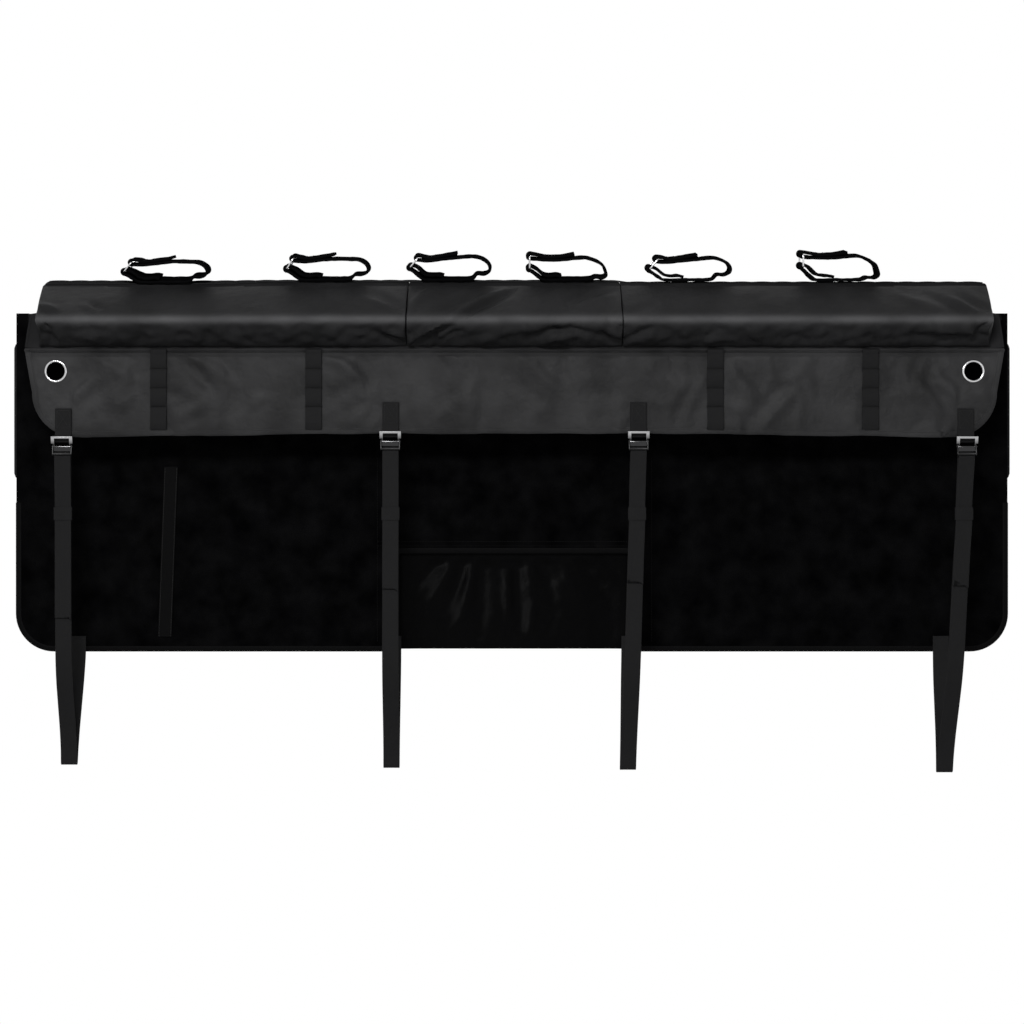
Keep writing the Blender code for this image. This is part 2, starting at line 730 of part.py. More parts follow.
def cradle_strap(name, i, mat):
    """One strap that goes round a bike frame: its foot, ring leg, loop and folded tail."""
    foot, across, out = cradle_place(i)
    path = cradle_path(CRADLE_LENGTH[i], CRADLE_HEIGHT[i])
    points = [foot + Vector((x, 0, 0)) + out * z for x, z in path]
    add_object(name, ribbon(points, across, CRADLE_W, CRADLE_T), mat)


def cradle_ring(name, i, mat):
    """The wire ring that the strap passes through, standing across it."""
    foot, across, out = cradle_place(i)
    high = CRADLE_HEIGHT[i] - RING_FOLD_R - CRADLE_T / 2
    low = high - RING_H
    radius = RING_CORNER_R
    half = CRADLE_W / 2 + GAP + radius
    corners = ((half, high, 0), (-half, high, 90), (-half, low, 180), (half, low, 270))
    loop = []
    for y, z, start in corners:
        centre = (y - math.copysign(radius, y), z + (radius if z == low else -radius))
        loop += arc(centre, radius, start, start + 90, 2)
    middle = foot + Vector((RING_IN, 0, 0))
    place = [middle + across * y + out * z for y, z in loop]
    add_object(name, ring_tube(place, Vector((1, 0, 0)), RING_WIRE_R, 6), mat, 60)


def ring_tube(loop, axis, radius, sides):
    """A round wire along a closed flat loop of points."""
    bm = bmesh.new()
    count = len(loop)
    rows = []
    for i, point in enumerate(loop):
        along = (loop[(i + 1) % count] - loop[i - 1]).normalized()
        out = along.cross(axis)
        row = []
        for k in range(sides):
            t = 2 * math.pi * k / sides
            row.append(bm.verts.new(point + radius * (math.cos(t) * out + math.sin(t) * axis)))
        rows.append(row)
    for low, high in zip(rows, rows[1:] + rows[:1]):
        for i in range(sides):
            j = (i + 1) % sides
            bm.faces.new((low[i], low[j], high[j], high[i]))
    return bm


def buckle_frame(mat):
    """Two cheeks joined by the tab's bar, the anvil bar and the lower bar."""
    outline = []
    for place, radius in zip(((0, 0), TOP_BAR, ANVIL, LOWER_BAR), CHEEK_ROUNDS):
        outline += disc(place, radius)
    outer = CHEEK_INSIDE + CHEEK_T
    frame = add_object("buckle_frame", hull(outline, -outer, -CHEEK_INSIDE), mat)
    parts = [cutter(hull(outline, CHEEK_INSIDE, outer), mat)]
    span = CHEEK_INSIDE + CHEEK_T / 2
    for place in (TOP_BAR, ANVIL, LOWER_BAR):
        parts.append(cutter(prism(disc(place, BAR_R, 8), -span, span), mat))
    combine(frame, parts, "UNION")
    bore = prism(disc((0, 0), BORE_R, 8), -2 * outer, 2 * outer)
    combine(frame, [cutter(bore, mat)], "DIFFERENCE")
    return frame


def cam_nose():
    """The middle of the cam's gripping edge, one clearance off the strap on the anvil."""
    reach = WRAP_R + WEBBING_T / 2 + GAP + NOSE_R
    angle = math.radians(NOSE_ANGLE)
    return ANVIL[0] + reach * math.cos(angle), ANVIL[1] + reach * math.sin(angle)


def cam_lever(mat):
    """The toothed cam on the pin, with its arm and the windowed plate for the thumb."""
    lever = add_object("cam_lever", prism(disc((0, 0), CAM_R, 12), -CAM_HALF, CAM_HALF), mat)
    nose = disc((0, 0), CAM_R * NOSE_ROOT, 6) + disc(cam_nose(), NOSE_R, 6)
    arm = disc((0, 0), CAM_R * ARM_ROOT, 6) + disc(THUMB_FOOT, THUMB_PLATE_R, 6)
    plate = disc(THUMB_FOOT, THUMB_PLATE_R, 6) + disc(THUMB_TOP, THUMB_PLATE_R, 6)
    parts = [cutter(hull(nose, -CAM_HALF, CAM_HALF), mat)]
    parts.append(cutter(hull(arm, -CAM_HALF, CAM_HALF), mat))
    parts.append(cutter(hull(plate, -THUMB_HALF, THUMB_HALF), mat))
    parts.append(cutter(prism(disc(THUMB_TOP, THUMB_ROLL_R, 8), -THUMB_HALF, THUMB_HALF), mat))
    combine(lever, parts, "UNION")
    inner = THUMB_HALF - THUMB_SIDE_W
    y0, z0 = THUMB_FOOT
    y1, z1 = THUMB_TOP
    low, high = z0 + (z1 - z0) * WINDOW_FOOT, z1 - 2 * THUMB_ROLL_R
    front, back = y1 - CHEEK_INSIDE / 2, y0 + CHEEK_INSIDE / 2
    window = prism([(front, low), (back, low), (back, high), (front, high)], -inner, inner)
    bore = prism(disc((0, 0), BORE_R, 8), -2 * CAM_HALF, 2 * CAM_HALF)
    combine(lever, [cutter(window, mat), cutter(bore, mat)], "DIFFERENCE")
    return lever


def buckle_pin(mat):
    """The pin, riveted over outside each cheek."""
    seat = CHEEK_INSIDE + CHEEK_T + GAP
    steps = [
        (-seat - PIN_HEAD_T, PIN_HEAD_R * 0.6),
        (-seat - PIN_HEAD_T * 0.4, PIN_HEAD_R),
        (-seat, PIN_HEAD_R),
        (-seat, PIN_R),
    ]
    steps += [(-x, r) for x, r in reversed(steps)]
    rings = [[(x, y, z) for y, z in disc((0, 0), r, 8)] for x, r in steps]
    return add_object("buckle_pin", loft(rings), mat, 40)


def buckle_tab(name, x, pin_z, mat):
    """Webbing sewn on the flap, that goes down round the buckle's bar and back up."""
    bar = (PIN_Y + TOP_BAR[0], pin_z + TOP_BAR[1])
    top = bar[1] + TAB_LENGTH
    join = bar[1] + TAB_JOIN
    path = [(TAB_BACK_Y, top), (TAB_BACK_Y, join)]
    path += arc(bar, WRAP_R, 0, -TAB_TURN, 7)
    path += [(TAB_FRONT_Y - TAB_PINCH, join), (TAB_FRONT_Y, join + TAB_JOIN / 2)]
    path.append((TAB_FRONT_Y, top - WEBBING_T))
    points = [(x, y, z) for y, z in path]
    add_object(name, ribbon(points, (1, 0, 0), WEBBING_W, WEBBING_T), mat)


def strap_x(i, z):
    """Where the front run of strap i is along X at a height. It leans toward its foot."""
    start = BUCKLE_PIN_Z[i] - LEAN_FROM
    if abs(z - KEEPER_Z) < 1.1 * KEEPER_REACH:
        z = KEEPER_Z
    share = (start - z) / (start - STRAP_BOTTOM[i])
    return BUCKLE_X[i] + FOOT_LEAN[i] * min(max(share, 0.0), 1.0)


def tie_strap(name, i, mat):
    """A strap from the panel's foot, down round below the tailgate and up to its buckle."""
    pin_z, bottom = BUCKLE_PIN_Z[i], STRAP_BOTTOM[i]
    load, tail, kept = STRAP_LOAD_Y, STRAP_TAIL_Y, STRAP_KEPT_Y
    sewn_y = LINING - BINDING_OUT - GAP - WEBBING_T / 2
    drop = PANEL_BOTTOM - bottom
    path = [(sewn_y, PANEL_BOTTOM + STRAP_SEWN), (sewn_y, PANEL_BOTTOM - BINDING_W / 2)]
    for t in SWEEP_STEPS:
        y = sewn_y + (STRAP_FOLD_R - sewn_y) * smooth_step(t / SWEEP_END)
        path.append((y, PANEL_BOTTOM - drop * t))
    rear = len(path)
    path += arc((0.0, bottom + STRAP_FOLD_R), STRAP_FOLD_R, 0, -180, 6)
    for t in (*reversed(SWEEP_STEPS), 0.0):
        y = load + (-STRAP_FOLD_R - load) * smooth_step(t / SWEEP_END)
        path.append((y, PANEL_BOTTOM - drop * t))
    path += [(load, z) for z in between(PANEL_BOTTOM, KEEPER_Z - KEEPER_REACH, 3)[1:]]
    path.append((load, KEEPER_Z + KEEPER_REACH))
    path += arc((PIN_Y + ANVIL[0], pin_z + ANVIL[1]), WRAP_R, 0, 180, 8)
    path += [(tail, pin_z + LOWER_BAR[1] - TAIL_DROP), (kept, KEEPER_Z + KEEPER_REACH)]
    path += [(kept, KEEPER_Z - KEEPER_REACH), (kept - TAIL_STAND / 2, TAIL_END_Z[i] + TAIL_BEND)]
    path.append((kept - TAIL_STAND, TAIL_END_Z[i]))
    points = [(strap_x(i, z), y, z) for y, z in path]
    for n, (y, z) in enumerate(path[:rear]):
        share = min((z - bottom) / drop, 1.0)
        lean = FOOT_LEAN[i] + (SEWN_LEAN[i] - FOOT_LEAN[i]) * share
        points[n] = (BUCKLE_X[i] + lean, y, z)
    add_object(name, ribbon(points, (1, 0, 0), WEBBING_W, WEBBING_T, TAIL_SLANT), mat)


def strap_keeper(name, i, mat):
    """A band round the strap and its tail."""
    x0 = WEBBING_W / 2 + 2 * GAP
    y0 = STRAP_KEPT_Y - WEBBING_T / 2 - GAP
    y1 = STRAP_LOAD_Y + WEBBING_T / 2 + GAP
    t = KEEPER_T
    outer = [(-x0 - t, y0 - t), (x0 + t, y0 - t), (x0 + t, y1 + t), (-x0 - t, y1 + t)]
    inner = [(-x0, y0), (x0, y0), (x0, y1), (-x0, y1)]
    bm = bmesh.new()
    rows = []
    for loop, z in ((outer, 0), (inner, 0), (inner, 1), (outer, 1)):
        height = KEEPER_Z + KEEPER_H * (z - 0.5)
        rows.append([bm.verts.new((strap_x(i, KEEPER_Z) + x, y, height)) for x, y in loop])
    for low, high in zip(rows, rows[1:] + rows[:1]):
        for k in range(4):
            bm.faces.new((low[k], low[(k + 1) % 4], high[(k + 1) % 4], high[k]))
    add_object(name, bm, mat)


def buckles(metal, cam_metal, webbing):
    """The four buckles, each with its lever and pin on one axis, and their straps."""
    frame, lever, pin = buckle_frame(metal), cam_lever(cam_metal), buckle_pin(metal)
    for i, (x, z) in enumerate(zip(BUCKLE_X, BUCKLE_PIN_Z)):
        for source, name in ((frame, "buckle_frame"), (lever, "cam_lever"), (pin, "buckle_pin")):
            copy_object(source, f"{name}_{i + 1}").location = (x, PIN_Y, z)
        buckle_tab(f"buckle_tab_{i + 1}", x, z, webbing)
        tie_strap(f"tie_strap_{i + 1}", i, webbing)
        strap_keeper(f"strap_keeper_{i + 1}", i, webbing)
    for source in (frame, lever, pin):
        bpy.data.objects.remove(source)


def panel_inset(z):
    """How far the panel's side stands in at a height, from its rounded lower corner."""
    deep = PANEL_BOTTOM + PANEL_CORNER_R - z
    if deep <= 0:
        return 0.0
    return PANEL_CORNER_R - math.sqrt(max(PANEL_CORNER_R**2 - deep**2, 0.0))


def panel_thickness(x, z):
    """Full in the field, thin at the bound edges and round the notch."""
    below_bolster = smooth_step((BOLSTER_BOTTOM - FIELD_FADE_FROM - z) / FIELD_FADE)
    side = PANEL_HALF - panel_inset(z) - abs(x)
    foot = z - PANEL_BOTTOM
    over = max(abs(x) - ACCESS_HALF, z - ACCESS_TOP)
    near = min(side, foot, over)
    crown = smooth_step((near - PANEL_FLAT_RIM) / PANEL_CROWN_REACH)
    crown = max(crown, 1 - below_bolster)
    return PANEL_RIM_T + (PANEL_T - PANEL_RIM_T) * crown


def outer_panel(mat):
    """The long padded panel, notched at the foot for the tailgate's handle."""
    half_columns = [0.0, NOTCH_HALF]
    half_columns += between(ACCESS_HALF + PANEL_LAP, PANEL_HALF - 4 * PANEL_FLAT_RIM, 6)
    half_columns += [PANEL_HALF - PANEL_FLAT_RIM, PANEL_HALF]
    us = [-u for u in reversed(half_columns[1:])] + half_columns
    straight = PANEL_BOTTOM + PANEL_CORNER_R
    faded = BOLSTER_BOTTOM - FIELD_FADE_FROM - FIELD_FADE
    vs = between(PANEL_TOP, BOLSTER_BOTTOM, 4) + between(faded, ACCESS_TOP, 2)
    vs += between(NOTCH_TOP, straight, 2)
    vs += [straight - PANEL_CORNER_R * math.sin(math.radians(a)) for a in PANEL_CORNER_STEPS]

    def place(u, z):
        share = smooth_step((abs(u) - PANEL_HALF + PANEL_CORNER_SPREAD) / PANEL_CORNER_SPREAD)
        rise = SHOULDER_RISE if z == PANEL_TOP and abs(u) > SADDLE_HALF else 0.0
        return u - math.copysign(panel_inset(z) * share, u), z + rise

    def front(u, z):
        x, z = place(u, z)
        return x, LINING, z

    def back(u, z):
        x, z = place(u, z)
        return x, LINING + panel_thickness(x, z), z

    def keep(u, z):
        return abs(u) > NOTCH_HALF or z > NOTCH_TOP

    add_object("outer_panel", slab(us, vs, front, back, keep), mat, 40)


def panel_binding(mat):
    """The tape round the panel's sides, foot and notch."""
    straight = PANEL_BOTTOM + PANEL_CORNER_R
    half = [(PANEL_HALF, BOLSTER_BOTTOM - FIELD_FADE_FROM - FIELD_FADE), (PANEL_HALF, straight)]
    centre = (PANEL_HALF - PANEL_CORNER_R, straight)
    half += [arc(centre, PANEL_CORNER_R, 0, -a, 1)[1] for a in PANEL_CORNER_STEPS]
    half += [(NOTCH_HALF, PANEL_BOTTOM), (NOTCH_HALF, NOTCH_TOP)]
    path = half + [(-x, z) for x, z in reversed(half)]
    bm = edge_channel(path, lambda x, z: LINING + PANEL_RIM_T / 2, PANEL_RIM_T)
    add_object("panel_binding", bm, mat)


def access_flap(mat):
    """The thin flap that closes the notch from outside, sewn along its top."""
    edge = [NOTCH_HALF, (NOTCH_HALF + ACCESS_HALF) / 2, ACCESS_HALF]
    free = NOTCH_HALF - ACCESS_SIDE_FADE / 2
    us = [-u for u in reversed(edge)] + between(-free, free, 14) + edge
    top, full = NOTCH_TOP - ACCESS_FOLD_FROM, NOTCH_TOP - ACCESS_FOLD_FROM - ACCESS_FOLD_FADE
    vs = [ACCESS_TOP] + between(top, full, 3) + between(full, ACCESS_BOTTOM, 3)[1:]
    near = RIM_BACK + BINDING_OUT + GAP

    def front(x, z):
        inside = smooth_step((NOTCH_HALF - ACCESS_FOLD_FROM - abs(x)) / ACCESS_SIDE_FADE)
        below = smooth_step((top - z) / ACCESS_FOLD_FADE)
        fan = math.sin(x / (FAN_WIDTH + FAN_SPREAD * (ACCESS_TOP - z)))
        fold = ACCESS_FOLD * (1 - ACCESS_FOLD_SHARE + ACCESS_FOLD_SHARE * fan)
        step = ACCESS_HEM_STEP * smooth_step((NOTCH_TOP - z) / ACCESS_SIDE_FADE)
        return x, near + step + fold * inside * below, z

    def back(x, z):
        px, y, pz = front(x, z)
        return px, y + ACCESS_T, pz

    add_object("access_flap", slab(us, vs, front, back), mat)


def hook_strips(mat):
    """Hook tape that holds the access flap's two sides to the panel."""
    y0 = RIM_BACK + GAP
    inner = NOTCH_HALF + BINDING_W + HOOK_MARGIN
    for name, side in (("left", -1), ("right", 1)):
        outline = [(y0, HOOK_TOP), (y0 + HOOK_T, HOOK_TOP)]
        low = PANEL_BOTTOM + BINDING_W + 2 * HOOK_MARGIN
        outline += [(y0 + HOOK_T, low), (y0, low)]
        x0, x1 = sorted((side * inner, side * (inner + HOOK_W)))
        add_object(f"hook_strip_{name}", prism(outline, x0, x1), mat)


def seam_tape(mat):
    """The flat tape over a seam of the lining."""
    y = LINING - GAP - SEAM_TAPE_T / 2
    xs = between(SEAM_TAPE_X - SEAM_TAPE_LEAN / 2, SEAM_TAPE_X + SEAM_TAPE_LEAN / 2, 4)
    zs = between(SEAM_TAPE_BOTTOM + BINDING_W, SEAM_TAPE_TOP, 4)
    points = [(x, y, z) for x, z in zip(xs, zs)]
    add_object("seam_tape", ribbon(points, (1, 0, 0), SEAM_TAPE_W, SEAM_TAPE_T), mat)


def outer_bolster(mat):
    """The thick band sewn across the panel's outer face, in three padded channels."""
    half = [BOLSTER_HALF * share for share in (0.0, 0.25, 0.5, 0.75, 0.9, 0.97)]
    half += [BOLSTER_HALF - BOLSTER_RIM_T, BOLSTER_HALF]
    us = [-u for u in reversed(half[1:])] + half
    edges = (BOLSTER_TOP, *BOLSTER_CHANNELS, BOLSTER_BOTTOM)
    vs = []
    for top, low in zip(edges, edges[1:]):
        vs += [top + (low - top) * t for t in BOLSTER_STEPS]
    vs.append(BOLSTER_BOTTOM)

    def corner(u, z):
        near = min(BOLSTER_TOP - z, z - BOLSTER_BOTTOM)
        radius = BOLSTER_CORNER_R
        tuck = radius - math.sqrt(max(radius**2 - max(radius - near, 0) ** 2, 0))
        return math.copysign(tuck, u) * smooth_step(8 * abs(u) / BOLSTER_HALF - 7)

    def front(u, z):
        return u - corner(u, z), PANEL_BACK + GAP, z

    def back(u, z):
        side = math.sqrt(min((BOLSTER_HALF - abs(u)) / BOLSTER_ROUND_END, 1.0))
        for top, low in zip(edges, edges[1:]):
            if low <= z <= top:
                t = (top - z) / (top - low)
                puff = math.sqrt(max(math.sin(math.pi * t), 0.0))
        at_end = z in (BOLSTER_TOP, BOLSTER_BOTTOM)
        valley = BOLSTER_RIM_T if at_end else BOLSTER_T - BOLSTER_CHANNEL_DEPTH
        thick = valley + (BOLSTER_T - valley) * puff
        thick = BOLSTER_RIM_T + (thick - BOLSTER_RIM_T) * side
        return u - corner(u, z), PANEL_BACK + GAP + thick, z

    add_object("outer_bolster", slab(us, vs, front, back), mat, 45)


def build():
    clear_scene()
    shell = material("coated_fabric", (0.035, 0.035, 0.038), 0.62)
    lining = material("suede_lining", (0.006, 0.006, 0.007), 0.95)
    webbing = material("black_webbing", (0.018, 0.018, 0.020), 0.80)
    tape = material("binding_tape", (0.020, 0.020, 0.022), 0.75)
    satin = material("satin_fabric", (0.020, 0.020, 0.022), 0.45)
    chrome = material("chromed_steel", (0.72, 0.72, 0.74), 0.18, 1.0)
    steel = material("plated_steel", (0.55, 0.55, 0.57), 0.28, 1.0)

    saddle_panel(shell)
    pods(shell)
    front_flap(shell)
    flap_binding(tape)
    for name, side in (("left", -1), ("right", 1)):
        grommet(f"grommet_{name}", side * GROMMET_X, chrome)
    for i, x in enumerate(DAISY_X):
        daisy_webbing(f"daisy_webbing_{i + 1}", x, webbing)
    rail_webbing(webbing)
    for i in range(len(CRADLE_SHARE)):
        cradle_strap(f"cradle_strap_{i + 1}", i, webbing)
        cradle_ring(f"cradle_ring_{i + 1}", i, steel)
    buckles(steel, chrome, webbing)
    outer_panel(lining)
    panel_binding(tape)
    access_flap(satin)
    hook_strips(tape)
    seam_tape(tape)
    outer_bolster(shell)


build()
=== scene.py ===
"""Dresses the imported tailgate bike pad: fabrics, webbing, stitches, metal, light and camera.

Metres, in the frame of the part: +X to the right, +Y away from the truck bed, +Z up.
"""

import math

import bmesh
import bpy
import numpy as np
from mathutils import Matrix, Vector, noise
from mathutils.bvhtree import BVHTree

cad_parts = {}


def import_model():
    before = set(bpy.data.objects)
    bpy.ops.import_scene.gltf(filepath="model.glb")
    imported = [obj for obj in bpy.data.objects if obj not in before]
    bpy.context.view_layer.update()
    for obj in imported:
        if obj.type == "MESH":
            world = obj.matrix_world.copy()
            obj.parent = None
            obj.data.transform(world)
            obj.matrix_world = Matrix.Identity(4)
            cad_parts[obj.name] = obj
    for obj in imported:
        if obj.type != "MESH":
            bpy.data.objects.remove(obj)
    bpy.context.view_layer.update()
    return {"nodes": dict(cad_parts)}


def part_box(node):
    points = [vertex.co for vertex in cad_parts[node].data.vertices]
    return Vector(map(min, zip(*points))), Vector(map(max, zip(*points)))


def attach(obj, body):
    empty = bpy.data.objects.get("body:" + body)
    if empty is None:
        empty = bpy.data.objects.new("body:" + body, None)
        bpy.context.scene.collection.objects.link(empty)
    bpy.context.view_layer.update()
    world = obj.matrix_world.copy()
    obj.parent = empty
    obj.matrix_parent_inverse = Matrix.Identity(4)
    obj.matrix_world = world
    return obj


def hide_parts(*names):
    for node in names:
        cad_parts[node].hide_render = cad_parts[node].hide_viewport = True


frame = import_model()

ROOT = "pad"

# Sizes that the source of the solids has too, or that follow from its shapes.
GAP = 0.0003
TAILGATE_T = 0.066
PANEL_HALF = 0.788
SADDLE_HALF = PANEL_HALF - 0.015
SADDLE_T = 0.008
SADDLE_EDGE = 0.0048
SKIRT_T = 0.003
SKIRT_H = 0.047
SKIRT_HALF = PANEL_HALF - 0.026
SKIRT_LEAN = 0.008
RIDGE_HALF = PANEL_HALF - 0.041
MIDDLE_POD = 0.332
GROOVE = 0.003
CREST_FRONT_Z = 0.0597
CREST_REAR_Z = 0.0685
CREST_DIP = 0.0040
CREST_DIP_FROM = -0.502 * RIDGE_HALF
CREST_DIP_TO = -0.636 * RIDGE_HALF
CREST_SINK = 0.0034
CREST_SINK_REACH = 0.017
CREST_Y = 0.040
CREST_FLAT = 0.040
POD_BACK = 0.009
CREASE_Y = -0.0725
CREASE_Z = -0.008
LOWER_BELLY = 0.005
UPPER_CROWN = 0.006
FLAP_T = 0.003
FLAP_HALF_TOP = SKIRT_HALF
FLAP_HALF_LOW = FLAP_HALF_TOP - 0.012
FLAP_BOTTOM = -0.178
FLAP_DROP = 0.007
FLAP_CORNER_R = 0.070
FLAP_CORNER_REACH = 0.125
BINDING_T = 0.0008
BINDING_W = 0.008
GROMMET_X = FLAP_HALF_TOP - 0.0484
GROMMET_Z = -0.083
GROMMET_HOLE_R = 0.014
GROMMET_FLANGE_R = 0.01775
GROMMET_BARREL_T = 0.0012
WEBBING_W = 0.0254
WEBBING_T = 0.0014
DAISY_OUTER = 0.7266 * FLAP_HALF_TOP
DAISY_INNER = 0.4100 * FLAP_HALF_TOP
DAISY_X = (-DAISY_OUTER, -DAISY_INNER, DAISY_INNER, DAISY_OUTER)
DAISY_TACKS = (-0.0475, -0.079, -0.109, -0.138, -0.174)
DAISY_BULGE = 0.0028
NOTCH_HALF = 0.184
NOTCH_TOP = -0.367
ACCESS_HALF = NOTCH_HALF + 0.034
ACCESS_TOP = -0.346
ACCESS_BOTTOM = -0.520
ACCESS_T = 0.0015
BUCKLE_OUTER = FLAP_HALF_LOW - 0.0485
BUCKLE_INNER = NOTCH_HALF + 0.0085
BUCKLE_X = (-BUCKLE_OUTER, -BUCKLE_INNER, BUCKLE_INNER, BUCKLE_OUTER)
BUCKLE_PIN_Z = (-0.201, -0.193, -0.193, -0.201)
TAIL_END_Z = (-0.470, -0.425, -0.415, -0.420)
STRAP_BOTTOM = (-0.699, -0.704, -0.707, -0.711)
STRAP_SEWN = 0.024
STRAP_FOLD_R = 0.0032
FOOT_LEAN = (0.001, -0.001, -0.014, -0.025)
SEWN_LEAN = (0.008, 0.000, -0.010, -0.024)
LEAN_FROM = 0.040
KEEPER_REACH = 0.014
KEEPER_Z = -0.3045
KEEPER_H = 0.020
TOP_BAR = (0.0040, 0.0095)
ANVIL = (0.0022, -0.0080)
LOWER_BAR_Z = -0.0110
BAR_R = 0.0016
PANEL_TOP = 0.006
PANEL_BOTTOM = -0.523
PANEL_T = 0.016
PANEL_RIM_T = 0.006
PANEL_CORNER_R = 0.060
PANEL_CORNER_SPREAD = 0.230
PANEL_FLAT_RIM = 0.012
PANEL_CROWN_REACH = 0.055
HOOK_W = 0.020
SEAM_TAPE_X = -0.699 * PANEL_HALF
SEAM_TAPE_TOP = -0.230
SEAM_TAPE_BOTTOM = -0.508
SEAM_TAPE_W = 0.022
SEAM_TAPE_LEAN = 0.010
BOLSTER_HALF = PANEL_HALF + 0.0075
BOLSTER_TOP = -0.028
BOLSTER_BOTTOM = -0.253
BOLSTER_T = 0.026
BOLSTER_RIM_T = 0.008
BOLSTER_CHANNELS = (-0.103, -0.178)
BOLSTER_CHANNEL_DEPTH = 0.008
RAIL_HALF = RIDGE_HALF - 0.004
RAIL_PITCH = 0.033
RAIL_ARCH = 0.0022
RAIL_GAP = 0.0006
CRADLE_SHARE = (-0.7416, -0.3989, -0.1393, 0.1098, 0.3695, 0.6881)
CRADLE_LENGTH = (0.139, 0.137, 0.135, 0.129, 0.137, 0.128)
CRADLE_HEIGHT = (0.0395, 0.0415, 0.0440, 0.0415, 0.0430, 0.0460)
CRADLE_W = 0.038
CRADLE_T = 0.0026
RING_WIRE_R = 0.0014
RING_CORNER_R = 0.0028
RING_H = 0.019
RING_IN = 0.0065

# Sizes of the visual model alone, where cloth and webbing lie softer than in the solids.
POD_END_R = 0.004
GROOVE_R = 0.0028
POD_TUCK = 0.008
POD_TUCK_UNDER = 0.006
POD_TUCK_REACH = 0.05
TAB_LENGTH = (0.0505, 0.0525, 0.0525, 0.0505)
TAIL_SLANT = (0.020, 0.014, 0.018, 0.015)
WINDOW_HALF = 0.0117
WINDOW_MIDDLE = 0.0068
WINDOW_H = 0.0120
SHOULDER_RISE = 0.0078
PANEL_SHIFT = -0.0040
RAIL_SOFT = 0.0008
CRADLE_SOFT_T = 0.0044
CRADLE_RIPPLE = 0.0012
RING_SLANT = (0.012, 0.010, 0.012, 0.0, 0.012, 0.0)
CRADLE_TILT = math.radians(10.5)
CRADLE_LEVEL = Vector((0, math.cos(CRADLE_TILT), math.sin(CRADLE_TILT)))
TAIL_STAND = 0.0018
TAIL_DROP = 0.008
TAIL_BEND = 0.05
TAB_JOIN = 0.012
SWEEP_STEPS = (0.22, 0.45, 0.68, 0.86)
SWEEP_END = 0.95
STRAP_APART = 0.0005
CRADLE_CLEAR = 0.0004
KEEPER_R = 0.0011
KEEPER_T = 0.0006
CROWN_RISE = 0.0005
POD_STEP = 0.0045
POD_FOLD_GAIN = 1.7
FLAP_FOLD_GAIN = 1.9
FLAP_WAVE_LONG = 0.310
FLAP_WAVE_SHORT = 0.170
FLAP_WAVE_H = 0.0032
FLAP_EASE = 0.05
FITTING_FLAT = 0.016
FITTING_PINNED = 0.013
EYELET_FLAT = 0.022
EYELET_PINNED = 0.021
FOLD_UNITS = 10000
FOLD_STEPS = 24
CRADLE_SWAY = 0.0020
CRADLE_LUMP = 0.25
METAL_EDGE = 0.00025
BOLSTER_CORNER_R = 0.014
BOLSTER_END = 0.05
BOLSTER_SLACK = 0.003
BOLSTER_PUFF = 0.006

# Places that follow from the sizes.
BED_FACE = -TAILGATE_T / 2
FLAP_FRONT = BED_FACE - FLAP_T
POD_CORNER = (BED_FACE - SKIRT_T - GAP, SADDLE_T + GAP)
LINING = TAILGATE_T / 2 + GAP
PANEL_BACK = LINING + PANEL_T
RIM_BACK = LINING + PANEL_RIM_T
BINDING_OUT = GAP + BINDING_T
WRAP_R = BAR_R + GAP + WEBBING_T / 2
TAB_BACK_Y = FLAP_FRONT - BINDING_OUT - GAP - WEBBING_T / 2
TAB_FRONT_Y = TAB_BACK_Y - WEBBING_T - GAP
PIN_Y = TAB_BACK_Y - WRAP_R - TOP_BAR[0]
STRAP_LOAD_Y = PIN_Y + ANVIL[0] + WRAP_R
STRAP_TAIL_Y = PIN_Y + ANVIL[0] - WRAP_R
STRAP_KEPT_Y = STRAP_LOAD_Y - WEBBING_T - STRAP_APART
RAIL_STAND = RAIL_GAP + WEBBING_T / 2
CRADLE_STAND = RAIL_GAP + GAP + WEBBING_T + RAIL_ARCH + CRADLE_T / 2
CRADLE_SOFT_STAND = CRADLE_STAND - RAIL_ARCH + RAIL_SOFT + (CRADLE_SOFT_T - CRADLE_T) / 2 + CRADLE_CLEAR
RING_FOLD_R = RING_WIRE_R + GAP + CRADLE_SOFT_T / 2

# The light that the world gives besides the lamps, the floor, and the cloth that settle() runs.
WORLD_LIGHT = 0.07
FLOOR_Z = -0.76
FLOOR_HALF = 6.0
CLOTH_GRAVITY = 0.3
CLOTH_FRAMES = 18
CLOTH = {
    "quality": 6, "mass": 0.15, "tension_stiffness": 30, "compression_stiffness": 30,
    "shear_stiffness": 12, "bending_stiffness": 0.8,
}

# Sizes of the stitches, and the step of the flap's grid.
THREAD_OFF = 0.0002
TAPE_STITCH_PITCH = 0.0034
TAPE_STITCH_R = 0.00026
TAB_STITCH_PITCH = 0.0030
TAB_STITCH_R = 0.00028
DAISY_TACK_H = 0.0030
RAIL_TACK_H = 0.0022
CRADLE_TACK_H = 0.0020
WELT_H = 0.0022
STITCH_PITCH = 0.0042
STITCH_FILL = 0.74
STITCH_R = 0.00032
STITCH_SIDES = 5
SKIRT_SEAM_IN = 0.003
LINING_SEAM_TOP = -0.215
NOTCH_SEAMS = (0.003, 0.010)
CELL = 0.006

# The materials: a weave is the length of a thread's rise, the width of a row and its depth. The
# rows are counted from far below zero. A noise stays mostly between its low and high value.
FABRIC_PITCH = (0.0013, 0.00065)
STRAP_WEAVE = (0.0021, 0.00127, 0.00030)
WEAVE_ROWS = 4096.0
TWILL_PITCH = 0.0009
HOOK_PITCH = 0.0014
NOISE_LOW = 0.3
NOISE_HIGH = 0.7
# A painted highlight along the pods' crease: how far above the crease its middle lies, and how fast it
# fades.
HIGHLIGHT_RISE = 0.0035
HIGHLIGHT_REACH = 0.0065
# Painted shade on the cam levers: dark up to this height over the pin, then brightening over the next span.
CAM_SHADE_TOP = 0.0030
CAM_SHADE_FADE = 0.0100

